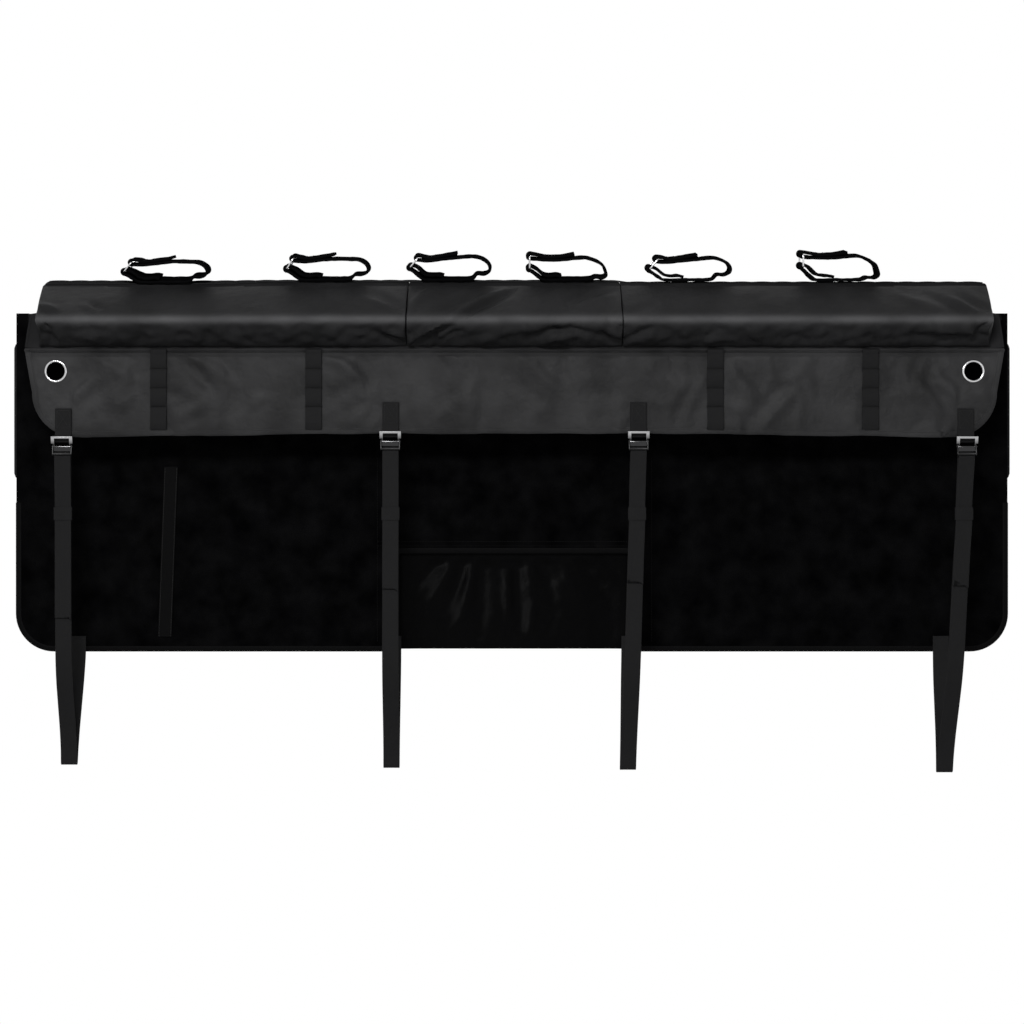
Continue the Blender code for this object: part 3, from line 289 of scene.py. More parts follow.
# The camera: the point of the flap's plane at the middle of the picture, the camera's
# distance from that plane, and the real width of one picture's width there.
AIM = Vector((-0.0039, FLAP_FRONT, -0.302))
CAMERA_DISTANCE = 3.15
PICTURE_WIDTH = 1.5933
SENSOR = 36.0


def smooth_step(t):
    """Rises from 0 to 1 between t = 0 and t = 1, level at both ends."""
    t = min(max(t, 0.0), 1.0)
    return t * t * (3 - 2 * t)


def between(a, b, steps):
    """Evenly spaced values from a to b, both included."""
    return [a + (b - a) * i / steps for i in range(steps + 1)]


def arc(centre, radius, start, end, steps):
    """Points of an arc about centre, with its angles in degrees."""
    return [
        (centre[0] + radius * math.cos(t), centre[1] + radius * math.sin(t))
        for t in (math.radians(a) for a in between(start, end, steps))
    ]


def ripple(x, z, size, seed):
    """Smooth noise from -1 to 1 over a sheet."""
    return noise.noise(Vector((x / size, seed, z / size)))


class Graph:
    """Builds the nodes of one material."""

    def __init__(self, name):
        self.mat = bpy.data.materials.new(name)
        self.mat.use_nodes = True
        self.tree = self.mat.node_tree
        self.shader = self.tree.nodes["Principled BSDF"]

    def put(self, socket, value):
        if isinstance(value, bpy.types.NodeSocket):
            self.tree.links.new(value, socket)
        else:
            socket.default_value = value

    def math(self, operation, a, b=0.0, c=0.0):
        node = self.tree.nodes.new("ShaderNodeMath")
        node.operation = operation
        for socket, value in zip(node.inputs, (a, b, c)):
            self.put(socket, value)
        return node.outputs[0]

    def uv(self):
        """The two lengths along the piece's own surface, in metres."""
        place = self.tree.nodes.new("ShaderNodeUVMap")
        split = self.tree.nodes.new("ShaderNodeSeparateXYZ")
        self.put(split.inputs[0], place.outputs[0])
        return split.outputs[0], split.outputs[1]

    def place(self):
        return self.tree.nodes.new("ShaderNodeTexCoord").outputs["Object"]

    def height(self):
        """The height in the part's frame at rest."""
        split = self.tree.nodes.new("ShaderNodeSeparateXYZ")
        self.put(split.inputs[0], self.place())
        return split.outputs[2]

    def noise(self, scale, detail=2.0):
        node = self.tree.nodes.new("ShaderNodeTexNoise")
        self.put(node.inputs["Vector"], self.place())
        node.inputs["Scale"].default_value = scale
        node.inputs["Detail"].default_value = detail
        return node.outputs["Fac"]

    def spread(self, value, low, high):
        """Maps the middle of a noise's range to low..high."""
        node = self.tree.nodes.new("ShaderNodeMapRange")
        self.put(node.inputs[0], value)
        node.inputs[1].default_value = NOISE_LOW
        node.inputs[2].default_value = NOISE_HIGH
        node.inputs[3].default_value = low
        node.inputs[4].default_value = high
        return node.outputs[0]

    def colour(self, value, low, high):
        """A mix of two colours."""
        node = self.tree.nodes.new("ShaderNodeMix")
        node.data_type = "RGBA"
        self.put(node.inputs[0], value)
        node.inputs[6].default_value = (*low, 1)
        node.inputs[7].default_value = (*high, 1)
        return node.outputs[2]

    def sum(self, first, second):
        """Two colours added up."""
        node = self.tree.nodes.new("ShaderNodeMix")
        node.data_type, node.blend_type = "RGBA", "ADD"
        for index, value in ((0, 1.0), (6, first), (7, second)):
            self.put(node.inputs[index], value)
        return node.outputs[2]

    def bump(self, height, distance, under=None):
        node = self.tree.nodes.new("ShaderNodeBump")
        node.inputs["Strength"].default_value = 1.0
        node.inputs["Distance"].default_value = distance
        self.put(node.inputs["Height"], height)
        if under is not None:
            self.put(node.inputs["Normal"], under)
        return node.outputs[0]

    def finish(self, colour, roughness, normal=None, **others):
        self.put(self.shader.inputs["Base Color"], colour)
        self.put(self.shader.inputs["Roughness"], roughness)
        if normal is not None:
            self.put(self.shader.inputs["Normal"], normal)
        for key, value in others.items():
            self.put(self.shader.inputs[key.replace("_", " ")], value)
        return self.mat


def weave(graph, pitch_u, pitch_v):
    """A brick pattern of raised threads, 0 to 1."""
    u, v = graph.uv()
    row = graph.math("DIVIDE", v, pitch_v)
    odd = graph.math("MODULO", graph.math("FLOOR", graph.math("ADD", row, WEAVE_ROWS)), 2.0)
    shift = graph.math("MULTIPLY_ADD", odd, 0.5, graph.math("DIVIDE", u, pitch_u))
    along = graph.math("SINE", graph.math("MULTIPLY", shift, 2 * math.pi))
    across = graph.math("ABSOLUTE", graph.math("SINE", graph.math("MULTIPLY", row, math.pi)))
    lifted = graph.math("MULTIPLY_ADD", along, 0.5, 0.5)
    return graph.math("MULTIPLY", lifted, across)


def coated_fabric(name, low, high, roughness, gloss, crease_highlight=0.0):
    """Coarse polyester with a soft coating, a little mottled, and a painted highlight along the crease."""
    g = Graph(name)
    threads = weave(g, *FABRIC_PITCH)
    soft = g.noise(22.0, 3.0)
    fine = g.noise(140.0, 2.0)
    normal = g.bump(soft, 0.0040)
    normal = g.bump(fine, 0.0005, normal)
    normal = g.bump(threads, 0.00014, normal)
    colour = g.colour(g.spread(g.noise(13.0, 4.0), 0.0, 1.0), low, high)
    # Painted highlight: a pale band along the crease, where the light catches its rounded edge.
    if crease_highlight:
        away = g.math("DIVIDE", g.math("SUBTRACT", g.height(), CREASE_Z + HIGHLIGHT_RISE), HIGHLIGHT_REACH)
        band = g.math("EXPONENT", g.math("MULTIPLY", g.math("MULTIPLY", away, away), -1.0))
        band = g.math("MULTIPLY", band, g.spread(g.noise(16.0, 3.0), 0.55, 1.0))
        painted_highlight = g.colour(band, (0, 0, 0), (crease_highlight, crease_highlight, crease_highlight * 1.03))
        colour = g.sum(colour, painted_highlight)
    rough = g.spread(soft, roughness - 0.05, roughness + 0.05)
    return g.finish(colour, rough, normal, Specular_IOR_Level=gloss)


def suede(name):
    """Short black nap, brushed unevenly."""
    g = Graph(name)
    nap = g.noise(900.0, 2.0)
    brushed = g.noise(26.0, 4.0)
    normal = g.bump(brushed, 0.0040)
    normal = g.bump(nap, 0.0005, normal)
    colour = g.colour(g.spread(brushed, 0.0, 1.0), (0.0004, 0.0004, 0.0005), (0.0026, 0.0026, 0.0028))
    return g.finish(colour, 0.95, normal, Specular_IOR_Level=0.010)


def woven_tape(name, low, high, pitch_u, pitch_v, depth, gloss):
    """Webbing or tape: brick-like threads that run along the piece, with painted shade in the grooves
    between them.
    """
    g = Graph(name)
    threads = weave(g, pitch_u, pitch_v)
    normal = g.bump(g.noise(60.0, 2.0), 0.0006)
    normal = g.bump(threads, depth, normal)
    # Painted shade: the colour follows the threads' height, dark in the grooves.
    colour = g.colour(threads, low, high)
    return g.finish(colour, 0.6, normal, Specular_IOR_Level=gloss)


def satin(name):
    """Thin satin lining cloth with a fine diagonal."""
    g = Graph(name)
    u, v = g.uv()
    diagonal = g.math("MULTIPLY", g.math("ADD", u, v), 2 * math.pi / TWILL_PITCH)
    normal = g.bump(g.noise(45.0, 3.0), 0.0012)
    normal = g.bump(g.math("SINE", diagonal), 0.00005, normal)
    colour = g.colour(g.noise(12.0, 3.0), (0.0004, 0.0004, 0.0005), (0.0012, 0.0012, 0.0013))
    return g.finish(colour, 0.32, normal, Specular_IOR_Level=0.022)


def plated(g, colour, low, high):
    """Bright plating with faint handling marks."""
    rough = g.spread(g.noise(420.0, 5.0), low, high)
    return g.finish(colour, rough, g.bump(g.noise(160.0, 2.0), 0.00012), Metallic=1.0)


def metal(name, tone, low, high):
    """Metal of one tone."""
    return plated(Graph(name), (tone, tone, tone * 1.01, 1), low, high)


def cam_metal(name, pin_z):
    """Chrome, with painted shade: dark on the cam under the thumb plate, brightening up to the thumb bar.
    """
    g = Graph(name)
    high = g.math("SUBTRACT", g.height(), pin_z + CAM_SHADE_TOP)
    share = g.math("MINIMUM", g.math("MAXIMUM", g.math("DIVIDE", high, CAM_SHADE_FADE), 0.0), 1.0)
    # Painted shade: dark low on the cam, bright chrome at the thumb bar.
    colour = g.colour(share, (0.040, 0.040, 0.041), (0.42, 0.42, 0.425))
    return plated(g, colour, 0.16, 0.28)


def plain_thread(name, tone):
    g = Graph(name)
    normal = g.bump(g.noise(2500.0, 1.0), 0.0001)
    colour = g.colour(g.noise(300.0), (tone * 0.7,) * 3, (tone * 1.3,) * 3)
    return g.finish(colour, 0.7, normal, Specular_IOR_Level=0.1)


def hook_tape(name):
    """The field of tiny hooks."""
    g = Graph(name)
    u, v = g.uv()
    dots = g.math("MULTIPLY", g.math("SINE", g.math("MULTIPLY", u, 2 * math.pi / HOOK_PITCH)),
                  g.math("SINE", g.math("MULTIPLY", v, 2 * math.pi / HOOK_PITCH)))
    return g.finish((0.004, 0.004, 0.0045, 1), 0.55, g.bump(dots, 0.0004), Specular_IOR_Level=0.1)


# The cover's copy of the coated fabric, also used on the panel's shell and the bolster, is kept darker than
# the flap's. This is painted shade, for the pods' faces that tilt away from the light. It carries the
# painted highlight along the crease too.
SHELL = coated_fabric(
    "coated_fabric", (0.0072, 0.0072, 0.0075), (0.0130, 0.0130, 0.0136),
    0.46, 0.045, crease_highlight=0.058,
)
# A lighter matte copy of the same fabric, for the crest's top faces and the saddle: painted light.
CREST_LIT = coated_fabric(
    "crest_fabric", (0.0110, 0.0110, 0.0114), (0.0180, 0.0180, 0.0187),
    0.60, 0.0,
)
# The flap's copy is lighter than the cover's, and its mottle swings wide. The mottle is partly a tone that
# differs at random and partly painted light and shade like that of soft folds.
FLAP = coated_fabric(
    "flap_fabric", (0.0070, 0.0070, 0.0073), (0.0225, 0.0225, 0.0233),
    0.46, 0.10,
)
SUEDE = suede("suede")
SATIN = satin("satin_cloth")
TAPE = woven_tape(
    "binding_tape", (0.0014, 0.0014, 0.0015), (0.0042, 0.0042, 0.0044),
    0.0012, 0.0008, 0.00016, 0.02,
)
WEBBING = woven_tape(
    "webbing", (0.0040, 0.0040, 0.0042), (0.0150, 0.0150, 0.0156),
    *STRAP_WEAVE, 0.06,
)
# A lighter matte copy of the webbing, for the rail on top of the crest: painted light.
RAIL_LIT = woven_tape(
    "rail_webbing", (0.0100, 0.0100, 0.0105), (0.0320, 0.0320, 0.0330),
    *STRAP_WEAVE, 0.0,
)
CRADLE = woven_tape(
    "cradle_webbing", (0.0014, 0.0014, 0.0016), (0.0060, 0.0060, 0.0064),
    0.0017, 0.0010, 0.00028, 0.0,
)
# Near-black thread, darker than the cloth it is sewn into. It is partly the thread's own colour and partly
# painted shade, in the gaps at the daisy tacks and in the groove under the flap's welt.
THREAD_AND_SHADE = plain_thread("thread", 0.0022)
PALE_THREAD = plain_thread("seam_thread", 0.020)
EYELET = metal("bright_nickel", 0.50, 0.12, 0.24)
STEEL = metal("plated_steel", 0.026, 0.36, 0.50)
RING_STEEL = metal("ring_steel", 0.60, 0.12, 0.22)
CAMS = {z: cam_metal(f"chrome_{n}", z) for n, z in enumerate(sorted(set(BUCKLE_PIN_Z)))}
HOOKS = hook_tape("hook_tape")


def finish_mesh(name, verts, faces, uvs, mats, sharp, face_mats=None, body=ROOT):
    """Makes an object that rides on a body, shaded smooth, from points, faces and lengths."""
    mesh = bpy.data.meshes.new(name)
    mesh.from_pydata([tuple(v) for v in verts], [], faces)
    layer = mesh.uv_layers.new(name="UVMap")
    layer.data.foreach_set("uv", np.asarray(uvs, dtype=np.float32).ravel())
    for mat in mats:
        mesh.materials.append(mat)
    if face_mats is not None:
        mesh.polygons.foreach_set("material_index", face_mats)
    bm = bmesh.new()
    bm.from_mesh(mesh)
    bmesh.ops.recalc_face_normals(bm, faces=bm.faces)
    bm.to_mesh(mesh)
    bm.free()
    mesh.shade_smooth()
    mesh.set_sharp_from_angle(angle=math.radians(sharp))
    obj = bpy.data.objects.new(name, mesh)
    bpy.context.collection.objects.link(obj)
    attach(obj, body)
    return obj


def loft(name, rings, mat, sharp, closed=False):
    """A skin through rings of points, capped at both ends, or joined end to end if closed."""
    rings = np.asarray(rings, dtype=float)
    rows, columns, _ = rings.shape
    path = np.vstack([rings.mean(1), rings[:1].mean(1)])
    along = np.concatenate([[0], np.cumsum(np.linalg.norm(np.diff(path, axis=0), axis=1))])
    ring = np.vstack([rings[rows // 2], rings[rows // 2][:1]])
    around = np.concatenate([[0], np.cumsum(np.linalg.norm(np.diff(ring, axis=0), axis=1))])
    faces, uvs = [], []
    for i in range(rows if closed else rows - 1):
        n = (i + 1) % rows
        for j in range(columns):
            k = (j + 1) % columns
            faces.append((i * columns + j, i * columns + k, n * columns + k, n * columns + j))
            uvs += [(along[i], around[j]), (along[i], around[j + 1])]
            uvs += [(along[i + 1], around[j + 1]), (along[i + 1], around[j])]
    if not closed:
        for first in (0, (rows - 1) * columns):
            faces.append(tuple(first + j for j in range(columns)))
            uvs += [(around[j], 0.0) for j in range(columns)]
    return finish_mesh(name, rings.reshape(-1, 3), faces, uvs, [mat], sharp)


def slab(name, us, vs, front, back, mats, keep=None):
    """A closed sheet over a grid. Front and back hold a point for each v and u."""
    count = len(us)
    verts = []
    for j in range(len(vs)):
        for i in range(count):
            verts += [front[j][i], back[j][i]]
    cells = [(i, j) for j in range(len(vs) - 1) for i in range(count - 1)
             if keep is None or keep((us[i] + us[i + 1]) / 2, (vs[j] + vs[j + 1]) / 2)]
    known = set(cells)
    faces, uvs, kinds = [], [], []
    for i, j in cells:
        corners = ((i, j), (i + 1, j), (i + 1, j + 1), (i, j + 1))
        ids = [2 * (b * count + a) for a, b in corners]
        flat = [(us[a], vs[b]) for a, b in corners]
        faces += [tuple(ids), tuple(k + 1 for k in reversed(ids))]
        uvs += flat + flat[::-1]
        kinds += [0, len(mats) - 1]
        for k, beside in enumerate(((i, j - 1), (i + 1, j), (i, j + 1), (i - 1, j))):
            if beside not in known:
                a, b = ids[k], ids[(k + 1) % 4]
                faces.append((b, a, a + 1, b + 1))
                uvs += [flat[(k + 1) % 4], flat[k], flat[k], flat[(k + 1) % 4]]
                kinds.append(0)
    obj = finish_mesh(name, verts, faces, uvs, mats, 50, kinds)
    bm = bmesh.new()
    bm.from_mesh(obj.data)
    bmesh.ops.delete(bm, geom=[v for v in bm.verts if not v.link_faces], context="VERTS")
    bm.to_mesh(obj.data)
    bm.free()
    return obj


def settle(points, held, shrink, pressure, cap):
    """Runs a grid of points as cloth, held where told, and returns where it comes to rest."""
    rows, columns, _ = points.shape
    mesh = bpy.data.meshes.new("cloth")
    faces = [(j * columns + i, j * columns + i + 1, (j + 1) * columns + i + 1, (j + 1) * columns + i)
             for j in range(rows - 1) for i in range(columns - 1)]
    mesh.from_pydata([tuple(p) for p in points.reshape(-1, 3)], [], faces)
    obj = bpy.data.objects.new("cloth", mesh)
    bpy.context.collection.objects.link(obj)
    group = obj.vertex_groups.new(name="held")
    group.add([int(k) for k in np.flatnonzero(held.ravel())], 1.0, "REPLACE")
    cloth = obj.modifiers.new("Cloth", "CLOTH")
    cloth.settings.vertex_group_mass = "held"
    for key, value in CLOTH.items():
        setattr(cloth.settings, key, value)
    cloth.settings.shrink_min = shrink
    cloth.settings.use_pressure = pressure != 0
    cloth.settings.uniform_pressure_force = pressure
    cloth.settings.effector_weights.gravity = CLOTH_GRAVITY
    cloth.collision_settings.use_collision = False
    cloth.point_cache.frame_start = 1
    cloth.point_cache.frame_end = CLOTH_FRAMES
    for number in range(1, CLOTH_FRAMES + 1):
        bpy.context.scene.frame_set(number)
    shown = obj.evaluated_get(bpy.context.evaluated_depsgraph_get())
    moved = np.array([v.co[:] for v in shown.data.vertices]).reshape(points.shape)
    bpy.data.objects.remove(obj)
    bpy.context.scene.frame_set(1)
    step = moved - points
    size = np.linalg.norm(step, axis=2, keepdims=True)
    return points + step * np.minimum(1.0, cap / np.maximum(size, 1e-9))


def smooth_path(points, step):
    """Points evenly spaced on a smooth curve through the given ones."""
    p = np.asarray(points, dtype=float)
    p = np.vstack([2 * p[0] - p[1], p, 2 * p[-1] - p[-2]])
    out = []
    for a, b, c, d in zip(p, p[1:], p[2:], p[3:]):
        count = max(1, int(math.ceil(np.linalg.norm(c - b) / step)))
        reach = np.linalg.norm(c - b)
        slope_b = (c - a) / max(np.linalg.norm(b - a) + reach, 1e-9) * reach
        slope_c = (d - b) / max(np.linalg.norm(d - c) + reach, 1e-9) * reach
        for k in range(count):
            t = k / count
            h = (2 * t**3 - 3 * t**2 + 1, t**3 - 2 * t**2 + t, -2 * t**3 + 3 * t**2, t**3 - t**2)
            out.append(h[0] * b + h[1] * slope_b + h[2] * c + h[3] * slope_c)
    out.append(p[-2])
    return np.array(out)


def strap_section(width, thick):
    """The outline across a strap: (across, out) pairs with a fuller edge."""
    half, t = width / 2, thick / 2
    shares = (1.0, 0.985, 0.94, 0.80, 0.40, 0.0, -0.40, -0.80, -0.94, -0.985, -1.0)
    heights = (0.0, 0.75, 1.08, 0.94, 0.90, 0.90, 0.90, 0.94, 1.08, 0.75, 0.0)
    top = [(half * s, t * h) for s, h in zip(shares, heights)]
    return top + [(a, -b) for a, b in reversed(top[1:-1])]


def strap(name, points, across, width, thick, mat, step=0.003, slant=0.0, lump=0.0):
    """Flat webbing along a path. Across is one direction, or a function of the point."""
    path = smooth_path(points, step)
    sides = np.array([across(p) if callable(across) else across for p in path], dtype=float)
    tangents = np.gradient(path, axis=0)
    tangents /= np.linalg.norm(tangents, axis=1, keepdims=True)
    normals = np.cross(sides, tangents)
    normals /= np.linalg.norm(normals, axis=1, keepdims=True)
    section = strap_section(width, thick)
    rings = []
    for n, (point, side, out, along) in enumerate(zip(path, sides, normals, tangents)):
        full = 1 + lump * ripple(point[0], n * step, 0.012, 7.0)
        cut = slant if n == len(path) - 1 else 0.0
        ring = [point + side * a + out * b * full - along * cut * (0.5 - a / width)
                for a, b in section]
        rings.append(ring)
    return loft(name, rings, mat, sharp=60)


def stitches(name, runs, mat, radius=STITCH_R):
    """Short raised threads. Each run is a pair of ends and the direction out of the cloth."""
    verts, faces, uvs = [], [], []
    profile = ((0.0, 0.35, -0.5), (0.2, 1.0, 0.25), (0.8, 1.0, 0.25), (1.0, 0.35, -0.5))
    sides = STITCH_SIDES
    for a, b, out in runs:
        a, b, out = np.asarray(a), np.asarray(b), np.asarray(out)
        side = np.cross(b - a, out)
        side = side / max(np.linalg.norm(side), 1e-9)
        first = len(verts)
        for t, full, lift in profile:
            middle = a + (b - a) * t + out * radius * lift
            for k in range(sides):
                turn = 2 * math.pi * k / sides
                verts.append(middle + radius * full * (math.cos(turn) * side + math.sin(turn) * out))
        for i in range(len(profile) - 1):
            for k in range(sides):
                n = (k + 1) % sides
                low, high = first + i * sides, first + (i + 1) * sides
                faces.append((low + k, low + n, high + n, high + k))
                uvs += [(0, 0)] * 4
    return finish_mesh(name, verts, faces, uvs, [mat], 80)


def seam(points, out, pitch=STITCH_PITCH):
    """Stitch runs along a line of points. Out is one direction, or one for each point."""
    p = np.asarray(points, dtype=float)
    lengths = np.concatenate([[0], np.cumsum(np.linalg.norm(np.diff(p, axis=0), axis=1))])
    outs = np.broadcast_to(np.asarray(out, dtype=float), p.shape)
    runs = []
    for n in range(int(lengths[-1] / pitch)):
        ends = []
        for at in (n * pitch, (n + STITCH_FILL) * pitch):
            ends.append([np.interp(at, lengths, p[:, c]) for c in range(3)])
        middle = (n + STITCH_FILL / 2) * pitch
        normal = np.array([np.interp(middle, lengths, outs[:, c]) for c in range(3)])
        runs.append((ends[0], ends[1], normal / max(np.linalg.norm(normal), 1e-9)))
    return runs


def bar_tack(middle, across, along, out, width, tall, count):
    """A dense zigzag that sews webbing down."""
    middle, across, along = np.asarray(middle), np.asarray(across), np.asarray(along)
    runs = []
    for k in range(count):
        a = middle + across * width * ((k + 0.2) / count - 0.5) - along * tall / 2
        b = middle + across * width * ((k + 0.8) / count - 0.5) + along * tall / 2
        runs.append((a, b, out))
    return runs


def crest_edges(x):
    """The heights of the crest's front and rear edges at a place along the ridge."""
    dip = smooth_step((CREST_DIP_FROM - x) / (CREST_DIP_FROM - CREST_DIP_TO))
    sink = smooth_step((x - MIDDLE_POD / 2 + CREST_SINK_REACH) / (2 * CREST_SINK_REACH))
    return CREST_FRONT_Z - CREST_DIP * dip, CREST_REAR_Z - CREST_SINK * sink


def crest_frame(x):
    """The middle of the crest at x, with the directions across it and out of it."""
    front, rear = crest_edges(x)
    across = Vector((0, CREST_FLAT, rear - front)).normalized()
    return Vector((x, CREST_Y, (front + rear) / 2)), across, Vector((1, 0, 0)).cross(across)


def bowed(a, b, bulge, steps):
    """Points from a to b, without b, bowed out by bulge at the middle."""
    dy, dz = b[0] - a[0], b[1] - a[1]
    long = math.hypot(dy, dz)
    points = []
    for i in range(steps):
        t = i / steps
        out = bulge * math.sin(math.pi * t)
        points.append((a[0] + dy * t - dz / long * out, a[1] + dz * t + dy / long * out))
    return points


def pod_section(x):
    """A pod's outline across the ridge, with fine steps, and how freely each point folds."""
    corner = POD_CORNER
    seam_foot = (corner[0], -SKIRT_H)
    crease = (CREASE_Y, CREASE_Z)
    front_z, rear_z = crest_edges(x)
    front = (CREST_Y - CREST_FLAT / 2, front_z)
    rear = (CREST_Y + CREST_FLAT / 2, rear_z)
    back = (rear[0] + POD_BACK, (rear_z + corner[1]) / 2)
    heel = (rear[0] + POD_BACK * 0.7, corner[1])
    points = bowed(corner, seam_foot, 0.0, 8) + bowed(seam_foot, crease, LOWER_BELLY, 14)
    points += bowed(crease, front, UPPER_CROWN * 0.5, 28) + bowed(front, rear, 0.0, 10)
    points += bowed(rear, back, 0.002, 7) + bowed(back, heel, 0.001, 7)
    points += bowed(heel, (BED_FACE * -1, corner[1]), 0.0, 4)
    points += bowed((-BED_FACE, corner[1]), corner, 0.0, 4)
    free = [0.0] * 9 + [1.0] * 13 + [0.7] + [1.0] * 27 + [0.1] * 11 + [0.6] * 13
    free += [0.0] * (len(points) - len(free))
    section = np.array(points)
    near = np.exp(-(((np.arange(len(section)) - 22) / 5.0) ** 2))[:, None]
    for turn in range(6):
        softer = (np.roll(section, 1, 0) + 2 * section + np.roll(section, -1, 0)) / 4
        section = section + (softer - section) * (1.0 if turn < 2 else near)
    return section, np.array(free)


# Folds in the pods' cover, in tenths of a millimetre: the x and z where each starts and where it
# ends on the bed side, the way it bows, its half width and its height, below zero for a valley.
POD_FOLDS = (
    (-1640, -410, -880, -60, 60, 45, 46), (-1620, -460, -900, -150, 40, 40, -60),
    (-960, -20, -40, 500, 40, 60, 36), (-880, -40, 60, 480, 20, 60, -44),
    (-1640, 80, -1150, 500, 100, 70, 26), (-1300, 0, -500, 400, 40, 60, -20),
    (-1240, -440, -740, -200, 50, 40, -48), (-1180, -380, -620, -130, 50, 40, 30),
    (-500, -380, 500, -160, 60, 60, 22), (200, -340, 1400, -350, 140, 50, -50),
    (400, -400, 1500, -420, 120, 45, 30), (1640, -400, 1300, -240, 30, 40, -52),
    (1640, -280, 1300, -120, 30, 40, 36), (1640, -160, 1400, -40, 0, 40, -34),
    (1600, 480, 760, 160, -40, 70, -30), (1500, 400, 900, 80, -40, 60, 22),
    (1120, 480, 740, 250, 0, 60, -26), (700, 500, 300, 180, 0, 80, 16),
    (-1700, 90, -2300, 460, -40, 70, -30), (-1700, 10, -2500, 340, -40, 60, 24),
    (-1700, -400, -2260, -210, 40, 50, -50), (-1700, -320, -2150, -120, 20, 45, 28),
    (-3000, 320, -2200, 100, 20, 70, 14), (-7420, -60, -7180, -260, 0, 45, -46),
    (-7420, -260, -7060, -360, 0, 45, -40), (-7440, 200, -7050, 100, 0, 50, 22),
    (-7440, 120, -7050, 20, 0, 50, -22), (-6620, 260, -6400, 100, 0, 50, -16),
    (-6700, 200, -6480, 60, 0, 50, 14), (7420, -80, 7120, -280, 0, 45, -50),
    (7400, -320, 6000, -300, 40, 60, -40), (7300, -200, 6300, -180, 40, 50, 22),
    (7400, 120, 6900, 420, 0, 70, -24), (7200, 60, 6700, 380, 0, 60, 18),
    (6950, 80, 6400, 440, 0, 70, -20), (6600, 120, 5900, 420, 0, 80, 16),
    (1700, -360, 2150, -140, 0, 45, -36), (1700, 60, 2300, 240, 0, 80, -16),
)


def fold_heights(places, folds):
    """How far each (x, z) place stands out because of the folds."""
    total = np.zeros(len(places))
    t = np.linspace(0, 1, FOLD_STEPS + 1)[:, None]
    for x0, z0, x1, z1, bow, width, height in np.array(folds) / FOLD_UNITS:
        side = np.array([z0 - z1, x1 - x0])
        side = side / np.linalg.norm(side)
        line = np.array([x0, z0]) + np.array([x1 - x0, z1 - z0]) * t + side * bow * np.sin(math.pi * t)
        away = np.linalg.norm(places[:, None, :] - line[None], axis=2)
        nearest = away.argmin(1)
        fade = np.sin(math.pi * np.clip(0.12 + 0.88 * nearest / FOLD_STEPS, 0, 1)) ** 0.7
        total += height * fade * np.exp(-((away.min(1) / width) ** 2))
    return total


def rail_lift(x):
    """How high the rail arches at x, from 0 at a tack to 1 midway between two."""
    count = round(2 * RAIL_HALF / RAIL_PITCH)
    return abs(math.sin(math.pi * count * (x + RAIL_HALF) / (2 * RAIL_HALF))) ** 0.8


def pod_wrinkles(places):
    """Small uneven dents, more of them under the crease."""
    out = np.zeros(len(places))
    for n, (x, z) in enumerate(places):
        low = smooth_step((CREASE_Z + 0.004 - z) / 0.010)
        edge = smooth_step(abs(z + SKIRT_H) / 0.010)
        small = ripple(x, z * 1.6, 0.021, 5.0) + 0.5 * ripple(x, z * 1.2, 0.010, 9.0)
        broad = ripple(x, z * 1.4, 0.060, 2.0)
        out[n] = edge * ((0.0003 + 0.0048 * low) * small + (0.0016 + 0.0008 * low) * broad)
    return out


def pod_end(x, section):
    """The x of a section's points. The belly is tucked in at the ridge's two ends."""
    near = smooth_step((abs(x) - RIDGE_HALF + POD_TUCK_REACH) / POD_TUCK_REACH)
    belly = np.clip((0.02 - section[:, 0]) / 0.085, 0, 1)
    under = np.clip((CREASE_Z - section[:, 1]) / 0.012, 0, 1)
    under = under * np.clip((section[:, 1] + SKIRT_H) / 0.012, 0, 1)
    return x - math.copysign(near, x) * (POD_TUCK * belly + POD_TUCK_UNDER * under)


def pod(name, x0, x1, r0, r1):
    """One foam pod with its folded cover."""
    stations = [(x0 + r0 * (1 - math.cos(t)), math.sin(t), r0) for t in between(0, math.pi / 2, 7)]
    inner0, inner1 = x0 + r0, x1 - r1
    count = round((inner1 - inner0) / POD_STEP)
    stations += [(x, 1.0, r0) for x in between(inner0, inner1, count)[1:-1]]
    stations += [(x1 - r1 * (1 - math.cos(t)), math.sin(t), r1) for t in between(math.pi / 2, 0, 7)]
    rings = []
    for x, full, radius in stations:
        section, free = pod_section(x)
        around = np.roll(section, -1, 0) - np.roll(section, 1, 0)
        around /= np.maximum(np.linalg.norm(around, axis=1, keepdims=True), 1e-9)
        places = np.column_stack([np.full(len(section), x), section[:, 1]])
        out = (POD_FOLD_GAIN * fold_heights(places, POD_FOLDS) + pod_wrinkles(places)) * free
        out *= 0.25 + 0.75 * full
        crown = np.clip(1 - ((section[:, 0] - CREST_Y) / (CREST_FLAT * 0.50)) ** 6, 0, 1)
        crown = crown * (section[:, 1] > SKIRT_H)
        out += crown * (RAIL_SOFT * rail_lift(x) + CROWN_RISE)
        section = section + np.column_stack([-around[:, 1], around[:, 0]]) * out[:, None]
        away = section - np.array(POD_CORNER)
        height = np.linalg.norm(away, axis=1)
        keep = 1 - (1 - full) * radius / np.maximum(height, 2 * radius)
        section = np.array(POD_CORNER) + away * keep[:, None]
        rings.append(np.column_stack([pod_end(x, section), section]))
    obj = loft(name, rings, SHELL, sharp=70)
    # The faces along the crest's top take the lighter copy: painted light.
    obj.data.materials.append(CREST_LIT)
    for face in obj.data.polygons:
        face.material_index = int(face.center.z > CREST_FRONT_Z - 0.0050)
    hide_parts(name)


def pods():
    inner = MIDDLE_POD / 2
    swell = 0.25 * GROOVE
    pod("pad_left", -RIDGE_HALF, -inner - GROOVE + swell, POD_END_R, GROOVE_R)
    pod("pad_middle", -inner - swell, inner + swell, GROOVE_R, GROOVE_R)
    pod("pad_right", inner + GROOVE - swell, RIDGE_HALF, GROOVE_R, POD_END_R)


